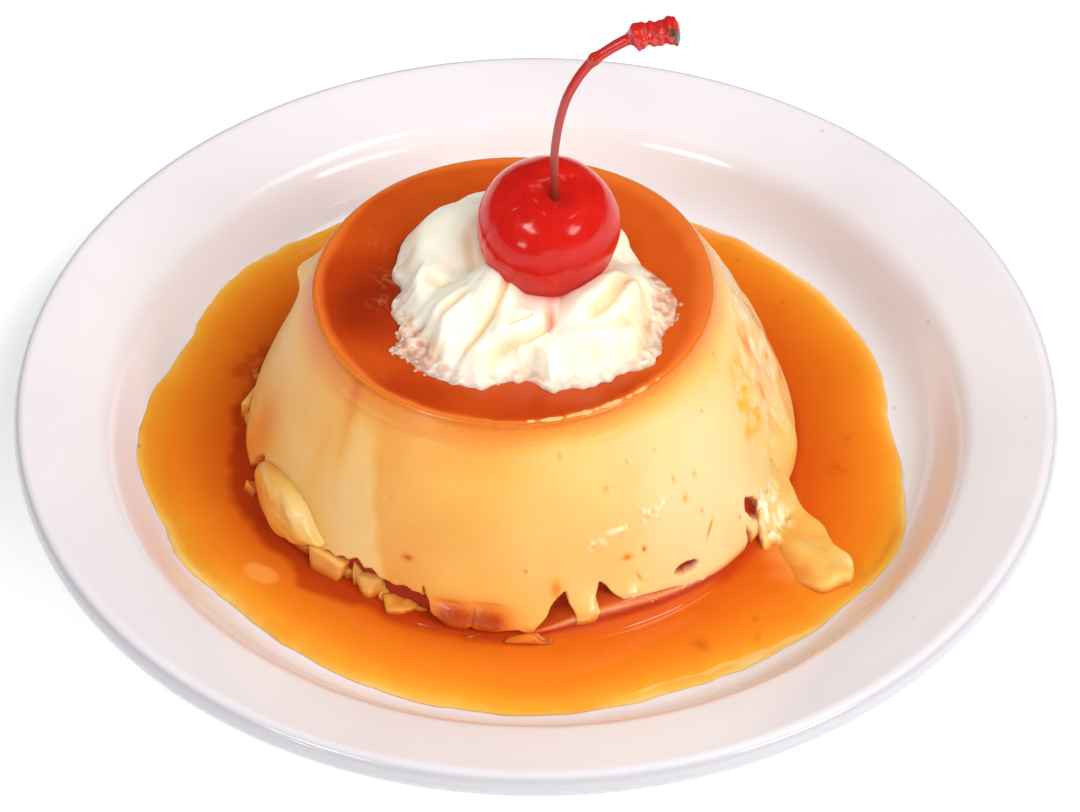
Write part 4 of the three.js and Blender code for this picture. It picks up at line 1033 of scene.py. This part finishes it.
# ---- cherry ----
# A bleached cocktail cherry preserved in red syrup: glossy, slightly flattened, with a dimple where the stem
# goes in and fine creases in its skin.
CHERRY_HALF, CHERRY_DIMPLE = 10.3, 1.9
axis = np.array([0.13, -0.34, 0.93]) / np.linalg.norm([0.13, -0.34, 0.93])
across = np.cross([0, 1, 0], axis)
across /= np.linalg.norm(across)
LEAN = np.stack([across, np.cross(axis, across), axis])
t = np.linspace(-np.pi / 2, np.pi / 2, 172)[1:-1, None]
turn = full_turn(240)
r = CHERRY_RADIUS * np.cos(t) ** 0.94
pit = bell(r, 2.6) * (t > 0)
ripple = 0.08 * bell(r - 4.6 - 0.5 * np.sin(2 * turn), 0.28) * ease(-np.sin(turn + 0.5), -0.3, 0.4) * (t > 0)
z = CHERRY_HALF * np.sin(t) - CHERRY_DIMPLE * pit - 0.5 * np.sin(t) ** 4 * (t <= 0) + ripple
ball = lathe(r, z, turn)
suture = bell(turn - np.radians(205), 0.05) * ease(np.cos(t), 0.3, 0.8) * (t > -0.2)
swell = 0.16 * (t > 0) * bell(r - 3.6, 1.6) * cloud(ball, 1.1, 8) - 0.16 * suture
swell += 0.22 * cloud(ball, 7, 2) + 0.06 * cloud(ball, 2.6, 3) + 0.02 * cloud(ball, 1.0, 4)
ball = ball * (1 + (swell / CHERRY_RADIUS)[..., None]) @ LEAN + CHERRY_MIDDLE
lowest, highest = -(CHERRY_HALF + 0.5) * axis, (CHERRY_HALF - CHERRY_DIMPLE) * axis
cherry = skin("cocktail_cherry", ball, CHERRY_MIDDLE + lowest, CHERRY_MIDDLE + highest, pit=pit + 0 * turn,
              creamy=ease(50.6 - ball[..., 2] + 0.8 * cloud(ball, 1.4, 6), 0, 4))
# The skin's red emission is painted light, evening out its shading.
cherry_paint, tree, shader = surface_paint(
    "cherry_skin", IOR=1.3, Coat_Roughness=0.03, Coat_IOR=1.4, Subsurface_Weight=0.35, Subsurface_Scale=0.004,
    Subsurface_Radius=(1.0, 0.12, 0.08), Emission_Color=tint(200, 24, 16), Emission_Strength=0.35)
broad, fine = grouped(tree, mottle, 200, 1300)
colour = steps(tree, broad, (0.3, 166, 19, 14), (0.55, 176, 24, 17), (0.75, 184, 31, 22))
# The dimple is painted darker red: painted shade.
colour = over(tree, colour, "pit", (130, 14, 14), 0.35)
# The lower part is painted darker red and made duller: painted shade.
colour = over(tree, colour, "creamy", (140, 14, 12), 0.5)
wire(shader, Base_Color=colour, Roughness=scaled(tree, "creamy", 0, 1, 0.17, 0.5),
     Coat_Weight=scaled(tree, "creamy", 0, 1, 0.2, 0))
bumped(tree, shader, fine, 0.00004, 0.35, bumped(tree, shader, broad, 0.0003, 0.3))
dress(cherry, cherry_paint, "cherry_skin", "cherry")

# ---- stem ----
# The cherry's own stem, dyed by the syrup: it rises out of the dimple, bends over to the right past a small
# node, and ends in the ridged knob that held it to its twig. Steps from its foot:
STEM_STEPS = [
    (-0.3, -0.5, 5.2), (-0.2, -0.6, 9.9), (0.6, 0, 15.2), (2.1, 0.7, 19.6), (5, 1.4, 23.9), (9.9, 2, 27.3),
    (13.6, 2.1, 28.3), (17.2, 2.1, 28.9)]
stem_foot = CHERRY_MIDDLE + axis * (CHERRY_HALF - 1.65)
path = curve_through(np.vstack([stem_foot - 0.9 * axis, stem_foot + np.array(STEM_STEPS)]), 260)
run = np.r_[0, np.cumsum(np.linalg.norm(np.diff(path, axis=0), axis=1))][:, None]
along = np.gradient(path, axis=0)
along /= np.linalg.norm(along, axis=1, keepdims=True)
sideways = np.cross(along, [0, 1, 0])
sideways /= np.linalg.norm(sideways, axis=1, keepdims=True)
forward = np.cross(along, sideways)
turn = full_turn(36)
left, share = run[-1] - run, run / run[-1]
thick = 0.6 + 0.35 * share ** 2 + 0.35 * bell(left - 13, 0.7) * (0.6 + 0.5 * np.cos(turn - 0.6))
thick += 0.25 * bell(run, 1.6)
# The knob is thick at both ends and waisted, with rings round it and scars of old flower stalks.
knob = ease(7.6 - left, 0, 1.5)
barrel = 1.72 + 0.28 * bell(left - 6, 0.8) + 0.38 * bell(left - 0.9, 0.9) - 0.7 * bell(left, 0.35)
barrel = barrel + 0.1 * np.sin(5.2 * left) + 0.09 * np.sin(3 * turn + 2 * left)
radius = (thick + knob * (barrel - thick))[..., None]
outward = np.cos(turn)[:, None] * sideways[:, None] + np.sin(turn)[:, None] * forward[:, None]
tube = path[:, None] + radius * outward
tube += (0.22 * cloud(tube, 1.0, 3) * knob + 0.02 * cloud(tube, 0.8, 4))[..., None] * outward
stem = skin("cherry_stalk", tube[:, ::-1], path[0], path[-1] + 0.15 * along[-1], knob=knob, along=share,
            tip=ease(1.9 - left, 0, 1))
stalk, tree, shader = surface_paint("stalk_skin", Roughness=0.28, Coat_Weight=0.4, Coat_Roughness=0.1,
                                    Subsurface_Weight=0.1, Subsurface_Scale=0.001)
broad, fine = grouped(tree, mottle, 420, 1500)
colour = steps(tree, "along", (0, 120, 34, 22), (0.25, 168, 60, 48), (0.5, 182, 40, 34),
               (0.85, 206, 34, 30))
colour = mix(tree, scaled(tree, broad, 0.45, 0.75, 0, 0.45), colour, (150, 62, 30))
scar = maths(tree, "MULTIPLY", "tip", scaled(tree, broad, 0.5, 0.58))
colour = mix(tree, scar, colour, (78, 62, 24))
wire(shader, Base_Color=colour)
bumped(tree, shader, fine, 0.0001, 0.5)
dress(stem, stalk, "stem", "cherry_stem")
